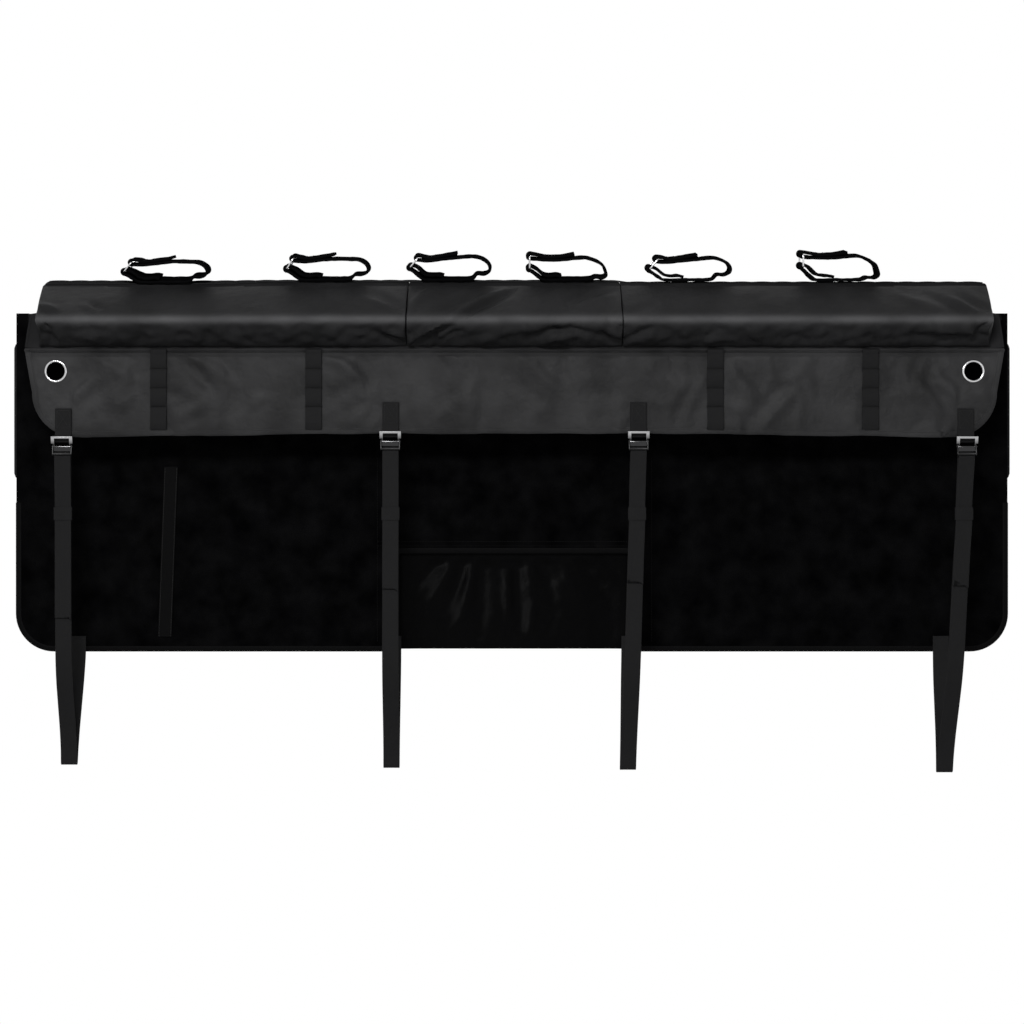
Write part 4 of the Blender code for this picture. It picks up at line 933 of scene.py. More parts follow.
def saddle():
    """The strip that lies on the tailgate, with its skirt."""
    rear, front = TAILGATE_T / 2, BED_FACE - SKIRT_T
    edge = SKIRT_HALF - SKIRT_LEAN * 0.9
    outline = [
        (rear, 0.0, SADDLE_HALF), (0.0, 0.0, SADDLE_HALF - 0.006), (BED_FACE, 0.0, edge),
        (BED_FACE, -SKIRT_H / 2, SKIRT_HALF - SKIRT_LEAN * 0.4), (BED_FACE, -SKIRT_H, SKIRT_HALF),
        (front, -SKIRT_H, SKIRT_HALF), (front, -SKIRT_H / 2, SKIRT_HALF - SKIRT_LEAN * 0.4),
        (front, 0.0, SKIRT_HALF - SKIRT_LEAN * 0.9), (front + 0.0006, SADDLE_EDGE, SKIRT_HALF - SKIRT_LEAN),
        (front + SKIRT_T, SADDLE_T, edge - 0.001), (0.0, SADDLE_T, SADDLE_HALF - 0.007),
        (rear, SADDLE_T, SADDLE_HALF),
    ]
    rings = []
    for side in [-1.0, -0.998, -0.99] + between(-0.97, 0.97, 120) + [0.99, 0.998, 1.0]:
        shrink = 0.0012 * smooth_step((abs(side) - 0.985) / 0.015)
        ring = []
        for y, z, half in outline:
            wave = 0.0006 * ripple(side * half, z, 0.03, 6.0) if z < SADDLE_T / 2 else 0.0
            tall = z - math.copysign(shrink, z - SADDLE_T / 2)
            ring.append((side * half, y + wave * (abs(side) < 0.98), tall))
        rings.append(ring)
    # The saddle takes the crest's lighter copy: painted light.
    obj = loft("saddle", rings, CREST_LIT, sharp=40)
    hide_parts("saddle_panel")
    runs = []
    for side in (-1, 1):
        line = []
        for t in between(0.05, 0.98, 12):
            x = side * (SKIRT_HALF - SKIRT_LEAN * t - SKIRT_SEAM_IN)
            line.append((x, front - GAP, -SKIRT_H + (SKIRT_H + SKIRT_SEAM_IN) * t))
        runs += seam(line, (0, -1, 0))
    stitches("skirt_stitches", runs, THREAD_AND_SHADE)


def flap_edge(x):
    """The height of the flap's lower edge."""
    return FLAP_BOTTOM - FLAP_DROP * (x / BUCKLE_X[-1]) ** 2


def flap_place(u, v):
    """The (x, z) of the flap at u across and v down, 0 to 1 and then round the corner."""
    top = -SKIRT_H - GAP
    straight = FLAP_BOTTOM - FLAP_DROP + FLAP_CORNER_R
    if v <= 1:
        z = top + (straight - top) * v
        half = FLAP_HALF_TOP + (FLAP_HALF_LOW - FLAP_HALF_TOP) * v
    else:
        angle = math.radians(90 * (v - 1))
        z = straight - FLAP_CORNER_R * math.sin(angle)
        half = FLAP_HALF_LOW - FLAP_CORNER_R * (1 - math.cos(angle))
    share = smooth_step((abs(u) - FLAP_HALF_TOP + FLAP_CORNER_REACH) / FLAP_CORNER_REACH)
    x = u - math.copysign((FLAP_HALF_TOP - half) * share, u)
    lift = flap_edge(x) - (FLAP_BOTTOM - FLAP_DROP)
    return x, z + lift * max(0.0, v) / 2


# Folds in the flap, told as the pods' folds.
FLAP_FOLDS = (
    (-7020, -1500, -6300, -760, 60, 90, 36), (-6880, -1600, -6150, -940, 60, 80, -34),
    (-6500, -700, -5900, -1000, 40, 100, 24), (-6100, -1700, -5700, -1300, 40, 90, -26),
    (-5200, -700, -4600, -1200, 40, 100, -32), (-5000, -640, -4300, -1080, 40, 100, 26),
    (-5300, -1600, -4700, -1250, 0, 100, 26), (-4300, -1600, -3600, -1100, 60, 110, 24),
    (-3900, -640, -3300, -900, 0, 100, -22), (-2950, -600, -2300, -1000, 40, 90, 28),
    (-2900, -1600, -2300, -1300, 0, 90, -22), (-1640, -520, -900, -900, 60, 70, -36),
    (-1560, -500, -700, -740, 60, 70, 26), (-1700, -500, -2300, -800, -40, 70, -26),
    (-1200, -1600, -500, -1100, 40, 110, 24), (-300, -800, 500, -1400, 60, 120, -26),
    (200, -700, 800, -1200, 0, 110, 20), (1640, -520, 1000, -840, 0, 80, -32),
    (1700, -520, 2200, -860, 0, 80, 22), (1200, -1650, 1600, -1200, 0, 100, -24),
    (2500, -1600, 2900, -1000, 40, 90, -34), (2650, -1500, 3000, -900, 40, 80, 26),
    (3600, -1700, 4300, -1000, 40, 100, -36), (3800, -1740, 4500, -1040, 40, 90, 30),
    (3400, -700, 3900, -1100, 40, 100, -26), (4600, -660, 4200, -1060, 0, 100, 24),
    (4800, -1600, 5300, -1000, 0, 100, -30), (6000, -700, 5700, -1300, 0, 100, -24),
    (7050, -1500, 6500, -800, -40, 90, 34), (6900, -1620, 6300, -900, -40, 80, -34),
)


def flap_surface(us, vs):
    """The flap's bed side face, settled as cloth and pinned under its fittings."""
    points, held = [], []
    for v in vs:
        row, pins = [], []
        for u in us:
            x, z = flap_place(u, v)
            fittings = min(abs(abs(x) - abs(f)) for f in (*DAISY_X, *BUCKLE_X))
            eyelet = math.hypot(abs(x) - GROMMET_X, z - GROMMET_Z)
            free = smooth_step((fittings - FITTING_FLAT) / FLAP_EASE)
            free = free * smooth_step((eyelet - EYELET_FLAT) / FLAP_EASE)
            free *= smooth_step((FLAP_HALF_TOP - abs(u)) / 0.07)
            low = smooth_step((-SKIRT_H - z) / FLAP_EASE)
            wave = math.sin(2 * math.pi * x / FLAP_WAVE_LONG + 0.7)
            wave += 0.6 * math.sin(2 * math.pi * x / FLAP_WAVE_SHORT + 9 * z)
            out = FLAP_WAVE_H * free * low * (0.5 + 0.5 * wave)
            dents = 0.0034 * ripple(x, z, 0.045, 1.0) + 0.0015 * ripple(x, z, 0.021, 12.0)
            out += dents * low * min(1.0, free + 0.3)
            out += WELT_H * math.exp(-((z + SKIRT_H + 0.0034) / 0.0020) ** 2)
            out -= WELT_H * 0.5 * math.exp(-((z + SKIRT_H + 0.0072) / 0.0016) ** 2)
            row.append((x, FLAP_FRONT - out, z))
            near = fittings < FITTING_PINNED or eyelet < EYELET_PINNED
            pins.append(v < 0.2 or near or abs(u) > FLAP_HALF_TOP - 0.006)
        points.append(row)
        held.append(pins)
    points, held = np.array(points), np.array(held)
    places = points[:, :, (0, 2)].reshape(-1, 2)
    folds = fold_heights(places, FLAP_FOLDS).reshape(points.shape[:2])
    points[:, :, 1] -= folds * ~held * FLAP_FOLD_GAIN
    settled = settle(points, held, -0.012, 0.0, 0.0030)
    settled[:, :, 1] = np.minimum(settled[:, :, 1], FLAP_FRONT + 0.0008)
    return settled


def punch(obj, x, radius):
    """Cuts a round hole through the flap for an eyelet."""
    bpy.ops.mesh.primitive_cylinder_add(
        vertices=48, radius=radius, depth=0.03,
        location=(x, FLAP_FRONT, GROMMET_Z), rotation=(math.pi / 2, 0, 0),
    )
    cut_out(obj, bpy.context.active_object)


def flap():
    """The hanging flap, its hem stitches and the tape round its edge."""
    us = between(-FLAP_HALF_TOP, FLAP_HALF_TOP, round(2 * FLAP_HALF_TOP / CELL))
    vs = between(0, 0.20, 8) + between(0.20, 1, 9)[1:] + between(1, 2, 14)[1:]
    front = flap_surface(us, vs)
    back = front + np.array([0.0, FLAP_T, 0.0])
    obj = slab("flap", us, between(-SKIRT_H, FLAP_BOTTOM, len(vs) - 1), front, back, [FLAP])
    for side in (-1, 1):
        punch(obj, side * GROMMET_X, GROMMET_HOLE_R + GROMMET_BARREL_T + GAP)
    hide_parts("front_flap")
    line = [front[j][0] for j in range(1, len(vs))] + list(front[-1][1:-1])
    line += [front[j][-1] for j in range(len(vs) - 1, 0, -1)]
    line = np.array(line)
    tape = edge_tape("flap_tape", line[::-1] + np.array([0, FLAP_T / 2, 0]), FLAP_T, FLAP)
    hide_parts("flap_binding")
    hem = [front[-3][i] - np.array([0, STITCH_R * 0.3, 0]) for i in range(10, len(us) - 10)]
    # This row under the welt is sewn with the near-black thread, which also paints the groove's shade.
    top = [front[4][i] - np.array([0, STITCH_R * 0.3, 0]) for i in range(2, len(us) - 2)]
    stitches("flap_stitches", seam(hem, (0, -1, 0)) + seam(top, (0, -1, 0)), THREAD_AND_SHADE)
    return BVHTree.FromPolygons([tuple(v.co) for v in obj.data.vertices],
                                [tuple(p.vertices) for p in obj.data.polygons])


def edge_tape(name, line, rim_t, mat):
    """A tape folded over an edge, along a line of points in the edge's middle plane."""
    line = np.asarray(line, dtype=float)
    tangents = np.gradient(line, axis=0)
    tangents[:, 1] = 0
    tangents /= np.linalg.norm(tangents, axis=1, keepdims=True)
    outward = np.cross(np.array([0.0, -1.0, 0.0]), tangents)
    half, t, wide = rim_t / 2 + GAP, BINDING_T, BINDING_W
    inner = [(-wide, half), (0.0, half), (GAP, half * 0.6)]
    inner += [(GAP, -half * 0.6), (0.0, -half), (-wide, -half)]
    outer = [(-wide, -half - t * 0.6), (-wide + 0.001, -half - t), (-0.001, -half - t),
             (BINDING_OUT * 0.8, -half * 0.9), (BINDING_OUT, 0.0), (BINDING_OUT * 0.8, half * 0.9),
             (-0.001, half + t), (-wide + 0.001, half + t), (-wide, half + t * 0.6)]
    section = inner + outer
    rings = []
    for point, out in zip(line, outward):
        rings.append([point + out * a + np.array([0, b, 0]) for a, b in section])
    obj = loft(name, rings, mat, sharp=50)
    face = half + t
    runs = []
    for side in (-1, 1):
        row = line - outward * (wide - 0.0016) + np.array([0, side * face, 0])
        runs += seam(row, (0, side, 0), TAPE_STITCH_PITCH)
    stitches(name + "_stitches", runs, THREAD_AND_SHADE, radius=TAPE_STITCH_R)
    return obj


def grommet(name, x):
    """A rolled metal eyelet."""
    hole, rim = GROMMET_HOLE_R, GROMMET_FLANGE_R
    middle = (hole + rim) / 2
    profile = [(hole, 0.0034), (hole - 0.0001, 0.0010), (hole, -0.0008)]
    for t in between(0.15, math.pi, 10):
        profile.append((middle - (rim - hole) / 2 * math.cos(t), -0.0007 - 0.0020 * math.sin(t)))
    profile += [(rim, -GAP), (hole + GROMMET_BARREL_T, -GAP), (hole + GROMMET_BARREL_T, FLAP_T + GAP)]
    profile += [(rim - 0.0005, FLAP_T + GAP), (rim - 0.0006, FLAP_T + 0.0010), (middle, FLAP_T + 0.0016)]
    rings = []
    for n in range(64):
        t = 2 * math.pi * n / 64
        turn, rise = math.cos(t), math.sin(t)
        rings.append([(x + r * turn, FLAP_FRONT + y, GROMMET_Z + r * rise) for r, y in profile])
    obj = loft(name, rings, EYELET, sharp=35, closed=True)
    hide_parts(name)


def daisy_webbing(i, tree):
    """A strip of loops, its tacks sewn through the flap."""
    x = DAISY_X[i]
    points, tacks = [], []
    for top, low in zip(DAISY_TACKS, DAISY_TACKS[1:]):
        for t in (0.0, 0.10, 0.3, 0.5, 0.7, 0.90):
            points.append((top + (low - top) * t, DAISY_BULGE * math.sin(math.pi * t) ** 0.7))
    points.append((DAISY_TACKS[-1], 0.0))
    path = []
    for z, bulge in points:
        over = smooth_step((FLAP_BOTTOM + 0.022 - z) / 0.008)
        path.append((x, surface_y(tree, x, z) - GAP - BINDING_OUT * over - bulge - WEBBING_T / 2, z))
    obj = strap(f"daisy_{i + 1}", path, (1, 0, 0), WEBBING_W, WEBBING_T, WEBBING)
    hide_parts(f"daisy_webbing_{i + 1}")
    # The tacks' near-black thread also paints the shade in the gaps where the loops meet the flap.
    for z in DAISY_TACKS:
        at = min(max(z, DAISY_TACKS[-1] + 0.003), DAISY_TACKS[0] - 0.003)
        y = surface_y(tree, x, at) - GAP - WEBBING_T - THREAD_OFF
        if z == DAISY_TACKS[-1]:
            y -= BINDING_OUT
        tacks += bar_tack((x, y, at), (1, 0, 0), (0, 0, 1), (0, -1, 0), WEBBING_W * 1.10, DAISY_TACK_H, 22)
    stitches(f"daisy_tacks_{i + 1}", tacks, THREAD_AND_SHADE)


def surface_y(tree, x, z):
    """The bed side of the flap at a place, or its plane where there is none."""
    hit = tree.ray_cast(Vector((x, FLAP_FRONT - 0.05, z)), Vector((0, 1, 0)))[0]
    return hit.y if hit is not None else FLAP_FRONT


def rail():
    """The webbing along the crest, with a tack at each foot of its low arches."""
    count = 2 * round(2 * RAIL_HALF / RAIL_PITCH)
    section = strap_section(WEBBING_W, WEBBING_T)
    rings, tacks = [], []
    for n, x in enumerate(between(-RAIL_HALF, RAIL_HALF, count * 3)):
        middle, across, out = crest_frame(x)
        base = middle + out * (RAIL_STAND + RAIL_SOFT * rail_lift(x))
        rings.append([tuple(base + across * a + out * b) for a, b in section])
        if n % 6 == 0 and 0 < n < count * 3:
            top = np.array(base + out * (WEBBING_T / 2))
            tacks += bar_tack(top, np.array(across), (1, 0, 0), np.array(out),
                              WEBBING_W * 0.94, RAIL_TACK_H, 20)
    obj = loft("rail", rings, RAIL_LIT, sharp=60)
    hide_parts("rail_webbing")
    stitches("rail_tacks", tacks, THREAD_AND_SHADE)


def cradle_path(length, height, slant):
    """A cradle strap's middle line, as (x, z) from its left end and its foot."""
    fold, layer, bump = RING_FOLD_R, CRADLE_SOFT_T + GAP, CRADLE_RIPPLE
    low = height - fold - CRADLE_SOFT_T / 2 - RING_H
    high = low + math.sqrt(RING_H**2 - slant**2)
    top = low + RING_H - fold
    right = length - CRADLE_SOFT_T / 2
    path = [(0.44 * length, layer), (0.38 * length, layer + 1.6 * bump), (0.30 * length, 0.34 * low)]
    path += [(0.22 * length, 0.46 * low), (0.13 * length, 0.98 * low)]
    path += arc((RING_IN, low), fold, 80, 280, 6)
    path += [(RING_IN + 0.055 * length, 0.55 * low), (RING_IN + 0.110 * length, 0.24 * low)]
    path += [(RING_IN + 0.170 * length, 0.0), (0.5 * length, 0.0), (0.70 * length, 0.0)]
    if slant:
        path += [(0.78 * length, 0.05 * top), (0.83 * length, 0.24 * top), (0.91 * length, 0.25 * top)]
        path += [(0.97 * length, 0.36 * top), (right, 0.55 * top), (0.955 * length, 0.78 * top)]
        path += [(0.88 * length, 0.96 * top), (0.78 * length, 1.02 * top), (0.60 * length, top)]
    else:
        path += [(0.80 * length, 0.03 * top), (0.86 * length, 0.12 * top), (0.94 * length, 0.09 * top)]
        path += [(0.99 * length, 0.20 * top), (right, 0.40 * top), (0.955 * length, 0.66 * top)]
        path += [(0.90 * length, 0.84 * top), (0.81 * length, top), (0.72 * length, top + bump)]
    lower = top - (low + RING_H - high)
    path.append((0.45 * length, 0.7 * top + 0.3 * lower - bump * 0.5))
    path.append((0.27 * length, 0.2 * top + 0.8 * lower - bump))
    path += arc((RING_IN + slant, high), fold, 275, 80, 6)
    path.append((RING_IN + slant + 0.07 * length, lower + layer + 0.5 * fold))
    path.append((0.27 * length, 0.2 * top + 0.8 * lower + layer - bump))
    tail = 0.7 * top + 0.3 * lower + layer
    path += [(0.45 * length, tail), (0.53 * length, tail + 1.5 * bump)]
    return path + [(0.60 * length, tail + 3 * bump)]


def cradle(i):
    """A loop for a bicycle frame with its wire ring and its stitches."""
    middle, across, out = crest_frame(CRADLE_SHARE[i] * RIDGE_HALF)
    length, height, slant = CRADLE_LENGTH[i], CRADLE_HEIGHT[i], RING_SLANT[i]
    foot = middle + out * CRADLE_SOFT_STAND - Vector((length / 2, 0, 0))
    points = []
    for x, z in cradle_path(length, height, slant):
        sway = CRADLE_SWAY * ripple(x, 0.0, 0.020, 2.0 + i) * smooth_step((z - 0.004) / 0.010)
        points.append(tuple(foot + Vector((x, 0, 0)) + out * (z + sway)))

    def turned(point):
        """Along the crest at the foot, and nearly level above it."""
        share = smooth_step(((Vector(point) - foot).dot(out) - 0.003) / 0.012)
        return across.lerp(CRADLE_LEVEL, share).normalized()

    obj = strap(f"cradle_{i + 1}", points, turned, CRADLE_W, CRADLE_SOFT_T, CRADLE,
                step=0.002, lump=CRADLE_LUMP)
    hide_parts(f"cradle_strap_{i + 1}")
    low = height - RING_FOLD_R - CRADLE_SOFT_T / 2 - RING_H
    high = low + math.sqrt(RING_H**2 - slant**2)
    half = CRADLE_W / 2 + GAP + RING_CORNER_R
    corners = ((half, high, 0), (-half, high, 90), (-half, low, 180), (half, low, 270))
    loop = []
    for y, z, start in corners:
        centre = (y - math.copysign(RING_CORNER_R, y), z + (RING_CORNER_R if z == low else -RING_CORNER_R))
        loop += arc(centre, RING_CORNER_R, start, start + 90, 6)
    middle = foot + Vector((RING_IN, 0, 0))
    lean = slant / (high - low)
    wire = [middle + Vector((lean * (z - low), 0, 0)) + CRADLE_LEVEL * y + out * z for y, z in loop]
    ring = wire_loop(f"ring_{i + 1}", wire, Vector((1, 0, -lean)).normalized())
    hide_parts(f"cradle_ring_{i + 1}")
    runs = []
    side = np.array(CRADLE_LEVEL)
    line = [Vector(p) for p in smooth_path(points, 0.002)]
    for at in (20, 26):
        point, ahead = np.array(line[-at]), np.array(line[-at + 1])
        along = (ahead - point) / np.linalg.norm(ahead - point)
        face = np.cross(side, along)
        face *= math.copysign(1.0, face[2])
        point = point + face * (CRADLE_SOFT_T / 2 + 0.0003)
        runs += bar_tack(point, side, along, face, CRADLE_W * 0.86, CRADLE_TACK_H, 24)
    stitches(f"cradle_stitches_{i + 1}", runs, THREAD_AND_SHADE)


def wire_loop(name, loop, axis):
    """A round wire along a closed loop of points."""
    rings = []
    for i, point in enumerate(loop):
        along = (loop[(i + 1) % len(loop)] - loop[i - 1]).normalized()
        out = along.cross(axis)
        rings.append([tuple(point + RING_WIRE_R * (math.cos(t) * out + math.sin(t) * axis))
                      for t in between(0, 2 * math.pi, 14)[:-1]])
    return loft(name, rings, RING_STEEL, closed=True, sharp=80)


def open_window(obj, x, z):
    """Cuts the thumb plate's window down to the cam, so that two arms carry the bar."""
    bpy.ops.mesh.primitive_cube_add(size=1, location=(x, PIN_Y - 0.006, z + WINDOW_MIDDLE))
    box = bpy.context.active_object
    box.scale = (2 * WINDOW_HALF, 0.020, WINDOW_H)
    cut_out(obj, box)


def cut_out(obj, cutter):
    """Cuts one object from another and removes the cutter."""
    step = obj.modifiers.new("Cut", "BOOLEAN")
    step.operation = "DIFFERENCE"
    step.object = cutter
    graph = bpy.context.evaluated_depsgraph_get()
    mesh = bpy.data.meshes.new_from_object(obj.evaluated_get(graph))
    obj.modifiers.clear()
    obj.data = mesh
    bpy.data.objects.remove(cutter)


def buckle(i):
    """The metal pieces of one buckle, with their edges rounded."""
    lever = ("cam_lever", f"lever_{i + 1}", CAMS[BUCKLE_PIN_Z[i]])
    for node, body, mat in (("buckle_frame", ROOT, STEEL), ("buckle_pin", ROOT, STEEL), lever):
        name = f"{node}_{i + 1}"
        source = frame["nodes"][name]
        mesh = bpy.data.meshes.new_from_object(source)
        mesh.transform(source.matrix_world)
        mesh.materials.clear()
        mesh.materials.append(mat)
        obj = bpy.data.objects.new(f"smooth_{name}", mesh)
        bpy.context.collection.objects.link(obj)
        weld = bmesh.new()
        weld.from_mesh(mesh)
        bmesh.ops.remove_doubles(weld, verts=weld.verts, dist=0.00001)
        weld.to_mesh(mesh)
        weld.free()
        if node == "cam_lever":
            open_window(obj, BUCKLE_X[i], BUCKLE_PIN_Z[i])
            mesh = obj.data
        bevel = obj.modifiers.new("Edges", "BEVEL")
        bevel.width = METAL_EDGE
        bevel.segments = 2
        bevel.limit_method = "ANGLE"
        bevel.angle_limit = math.radians(24)
        mesh.shade_smooth()
        mesh.set_sharp_from_angle(angle=math.radians(50))
        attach(obj, body)
        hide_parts(name)


def buckle_tab(i):
    """Webbing sewn on the flap, which holds the buckle's bar."""
    x, pin_z = BUCKLE_X[i], BUCKLE_PIN_Z[i]
    bar = (PIN_Y + TOP_BAR[0], pin_z + TOP_BAR[1])
    top, join = bar[1] + TAB_LENGTH[i], bar[1] + TAB_JOIN
    path = [(TAB_BACK_Y, top), (TAB_BACK_Y, (top + join) / 2), (TAB_BACK_Y, join)]
    path += arc(bar, WRAP_R, 0, -165, 7)
    path += [(TAB_FRONT_Y - 0.0004, join), (TAB_FRONT_Y, join + TAB_JOIN / 2), (TAB_FRONT_Y, top - 0.001)]
    points = [(x, y, z) for y, z in path]
    obj = strap(f"tab_{i + 1}", points, (1, 0, 0), WEBBING_W, WEBBING_T, WEBBING, step=0.002)
    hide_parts(f"buckle_tab_{i + 1}")
    face = TAB_FRONT_Y - WEBBING_T / 2 - THREAD_OFF
    half, low, high = WEBBING_W / 2 - 0.0030, join + 0.008, top - 0.0035
    box = [(x - half, low), (x + half, low), (x + half, high), (x - half, high), (x - half, low),
           (x + half, high), (x + half, high), (x - half, high), (x + half, low)]
    line = []
    for (xa, za), (xb, zb) in zip(box, box[1:]):
        line += [(xa + (xb - xa) * t, face, za + (zb - za) * t) for t in (0.0, 0.25, 0.5, 0.75)]
    line.append((box[-1][0], face, box[-1][1]))
    runs = seam(line, (0, -1, 0), TAB_STITCH_PITCH)
    stitches(f"tab_stitches_{i + 1}", runs, PALE_THREAD, radius=TAB_STITCH_R)


def strap_x(i, z):
    """Where the front run of strap i is along X at a height. It leans toward its foot."""
    start = BUCKLE_PIN_Z[i] - LEAN_FROM
    if abs(z - KEEPER_Z) < 1.1 * KEEPER_REACH:
        z = KEEPER_Z
    share = (start - z) / (start - STRAP_BOTTOM[i])
    return BUCKLE_X[i] + FOOT_LEAN[i] * min(max(share, 0.0), 1.0)


def tie_strap(i):
    """A strap from the panel's foot, round below the tailgate and up to its buckle."""
    pin_z, bottom = BUCKLE_PIN_Z[i], STRAP_BOTTOM[i]
    load, tail, kept = STRAP_LOAD_Y, STRAP_TAIL_Y, STRAP_KEPT_Y
    sewn_y = LINING - BINDING_OUT - GAP - WEBBING_T / 2
    drop = PANEL_BOTTOM - bottom
    path = [(sewn_y, PANEL_BOTTOM + STRAP_SEWN), (sewn_y, PANEL_BOTTOM - BINDING_W / 2)]
    for t in SWEEP_STEPS:
        y = sewn_y + (STRAP_FOLD_R - sewn_y) * smooth_step(t / SWEEP_END)
        path.append((y, PANEL_BOTTOM - drop * t))
    rear = len(path)
    path += arc((0.0, bottom + STRAP_FOLD_R), STRAP_FOLD_R, 0, -180, 6)
    for t in (*reversed(SWEEP_STEPS), 0.0):
        y = load + (-STRAP_FOLD_R - load) * smooth_step(t / SWEEP_END)
        path.append((y, PANEL_BOTTOM - drop * t))
    path += [(load, z) for z in between(PANEL_BOTTOM, KEEPER_Z - KEEPER_REACH, 3)[1:]]
    path.append((load, KEEPER_Z + KEEPER_REACH))
    path += arc((PIN_Y + ANVIL[0], pin_z + ANVIL[1]), WRAP_R, 0, 180, 8)
    path += [(tail, pin_z + LOWER_BAR_Z - TAIL_DROP), (kept, KEEPER_Z + KEEPER_REACH)]
    path.append((kept, KEEPER_Z - KEEPER_REACH))
    path += [(kept - TAIL_STAND / 2, TAIL_END_Z[i] + TAIL_BEND), (kept - TAIL_STAND, TAIL_END_Z[i])]
    points = [(strap_x(i, z), y, z) for y, z in path]
    for n, (y, z) in enumerate(path[:rear]):
        lean = FOOT_LEAN[i] + (SEWN_LEAN[i] - FOOT_LEAN[i]) * min((z - bottom) / drop, 1.0)
        points[n] = (BUCKLE_X[i] + lean, y, z)
    obj = strap(f"tie_{i + 1}", points, (1, 0, 0), WEBBING_W, WEBBING_T, WEBBING,
                step=0.004, slant=TAIL_SLANT[i])
    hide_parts(f"tie_strap_{i + 1}")


def keeper(i):
    """The sewn band round the strap and its tail."""
    x0 = WEBBING_W / 2 + 3 * GAP
    y0 = STRAP_KEPT_Y - WEBBING_T / 2 - 1.5 * GAP
    y1 = STRAP_LOAD_Y + WEBBING_T / 2 + 1.5 * GAP
    radius = KEEPER_R
    loop = []
    for cx, cy, start in ((x0, y1, 0), (-x0, y1, 90), (-x0, y0, 180), (x0, y0, 270)):
        centre = (cx - math.copysign(radius, cx) * 0.5, cy - (radius * 0.3 if cy == y1 else -radius * 0.3))
        loop += arc(centre, radius * 0.8, start, start + 90, 4)
    rings = []
    for y_share in (-0.5, -0.47, -0.2, 0.2, 0.47, 0.5):
        thin = 0.7 if abs(y_share) == 0.5 else 1.0
        z = KEEPER_Z + KEEPER_H * y_share
        rings.append([(strap_x(i, KEEPER_Z) + px * (1 + 0.01 * thin), py, z) for px, py in loop])
    outer = np.array(rings)
    centre = outer.mean(axis=(0, 1), keepdims=True)
    away = outer[::-1] - centre
    inner = outer[::-1] - away / np.linalg.norm(away[..., :2], axis=2, keepdims=True) * KEEPER_T
    obj = loft(f"keeper_{i + 1}", np.concatenate([outer, inner]), WEBBING, closed=True, sharp=50)
    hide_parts(f"strap_keeper_{i + 1}")


def panel_inset(z):
    """How far the panel's side stands in at a height, from its rounded lower corner."""
    deep = PANEL_BOTTOM + PANEL_CORNER_R - z
    if deep <= 0:
        return 0.0
    return PANEL_CORNER_R - math.sqrt(max(PANEL_CORNER_R**2 - deep**2, 0.0))


def panel_x(x):
    """The panel's outer parts lie a little to the left."""
    return x + PANEL_SHIFT * smooth_step((abs(x) - 0.35) / 0.3)


def panel_thickness(x, z):
    """Full in the field, thin at the bound edges and round the notch."""
    below_bolster = smooth_step((BOLSTER_BOTTOM - 0.004 - z) / 0.03)
    side = PANEL_HALF - panel_inset(z) - abs(x)
    over = max(abs(x) - ACCESS_HALF, z - ACCESS_TOP)
    near = min(side, z - PANEL_BOTTOM, over)
    crown = smooth_step((near - PANEL_FLAT_RIM) / PANEL_CROWN_REACH)
    return PANEL_RIM_T + (PANEL_T - PANEL_RIM_T) * max(crown, 1 - below_bolster)


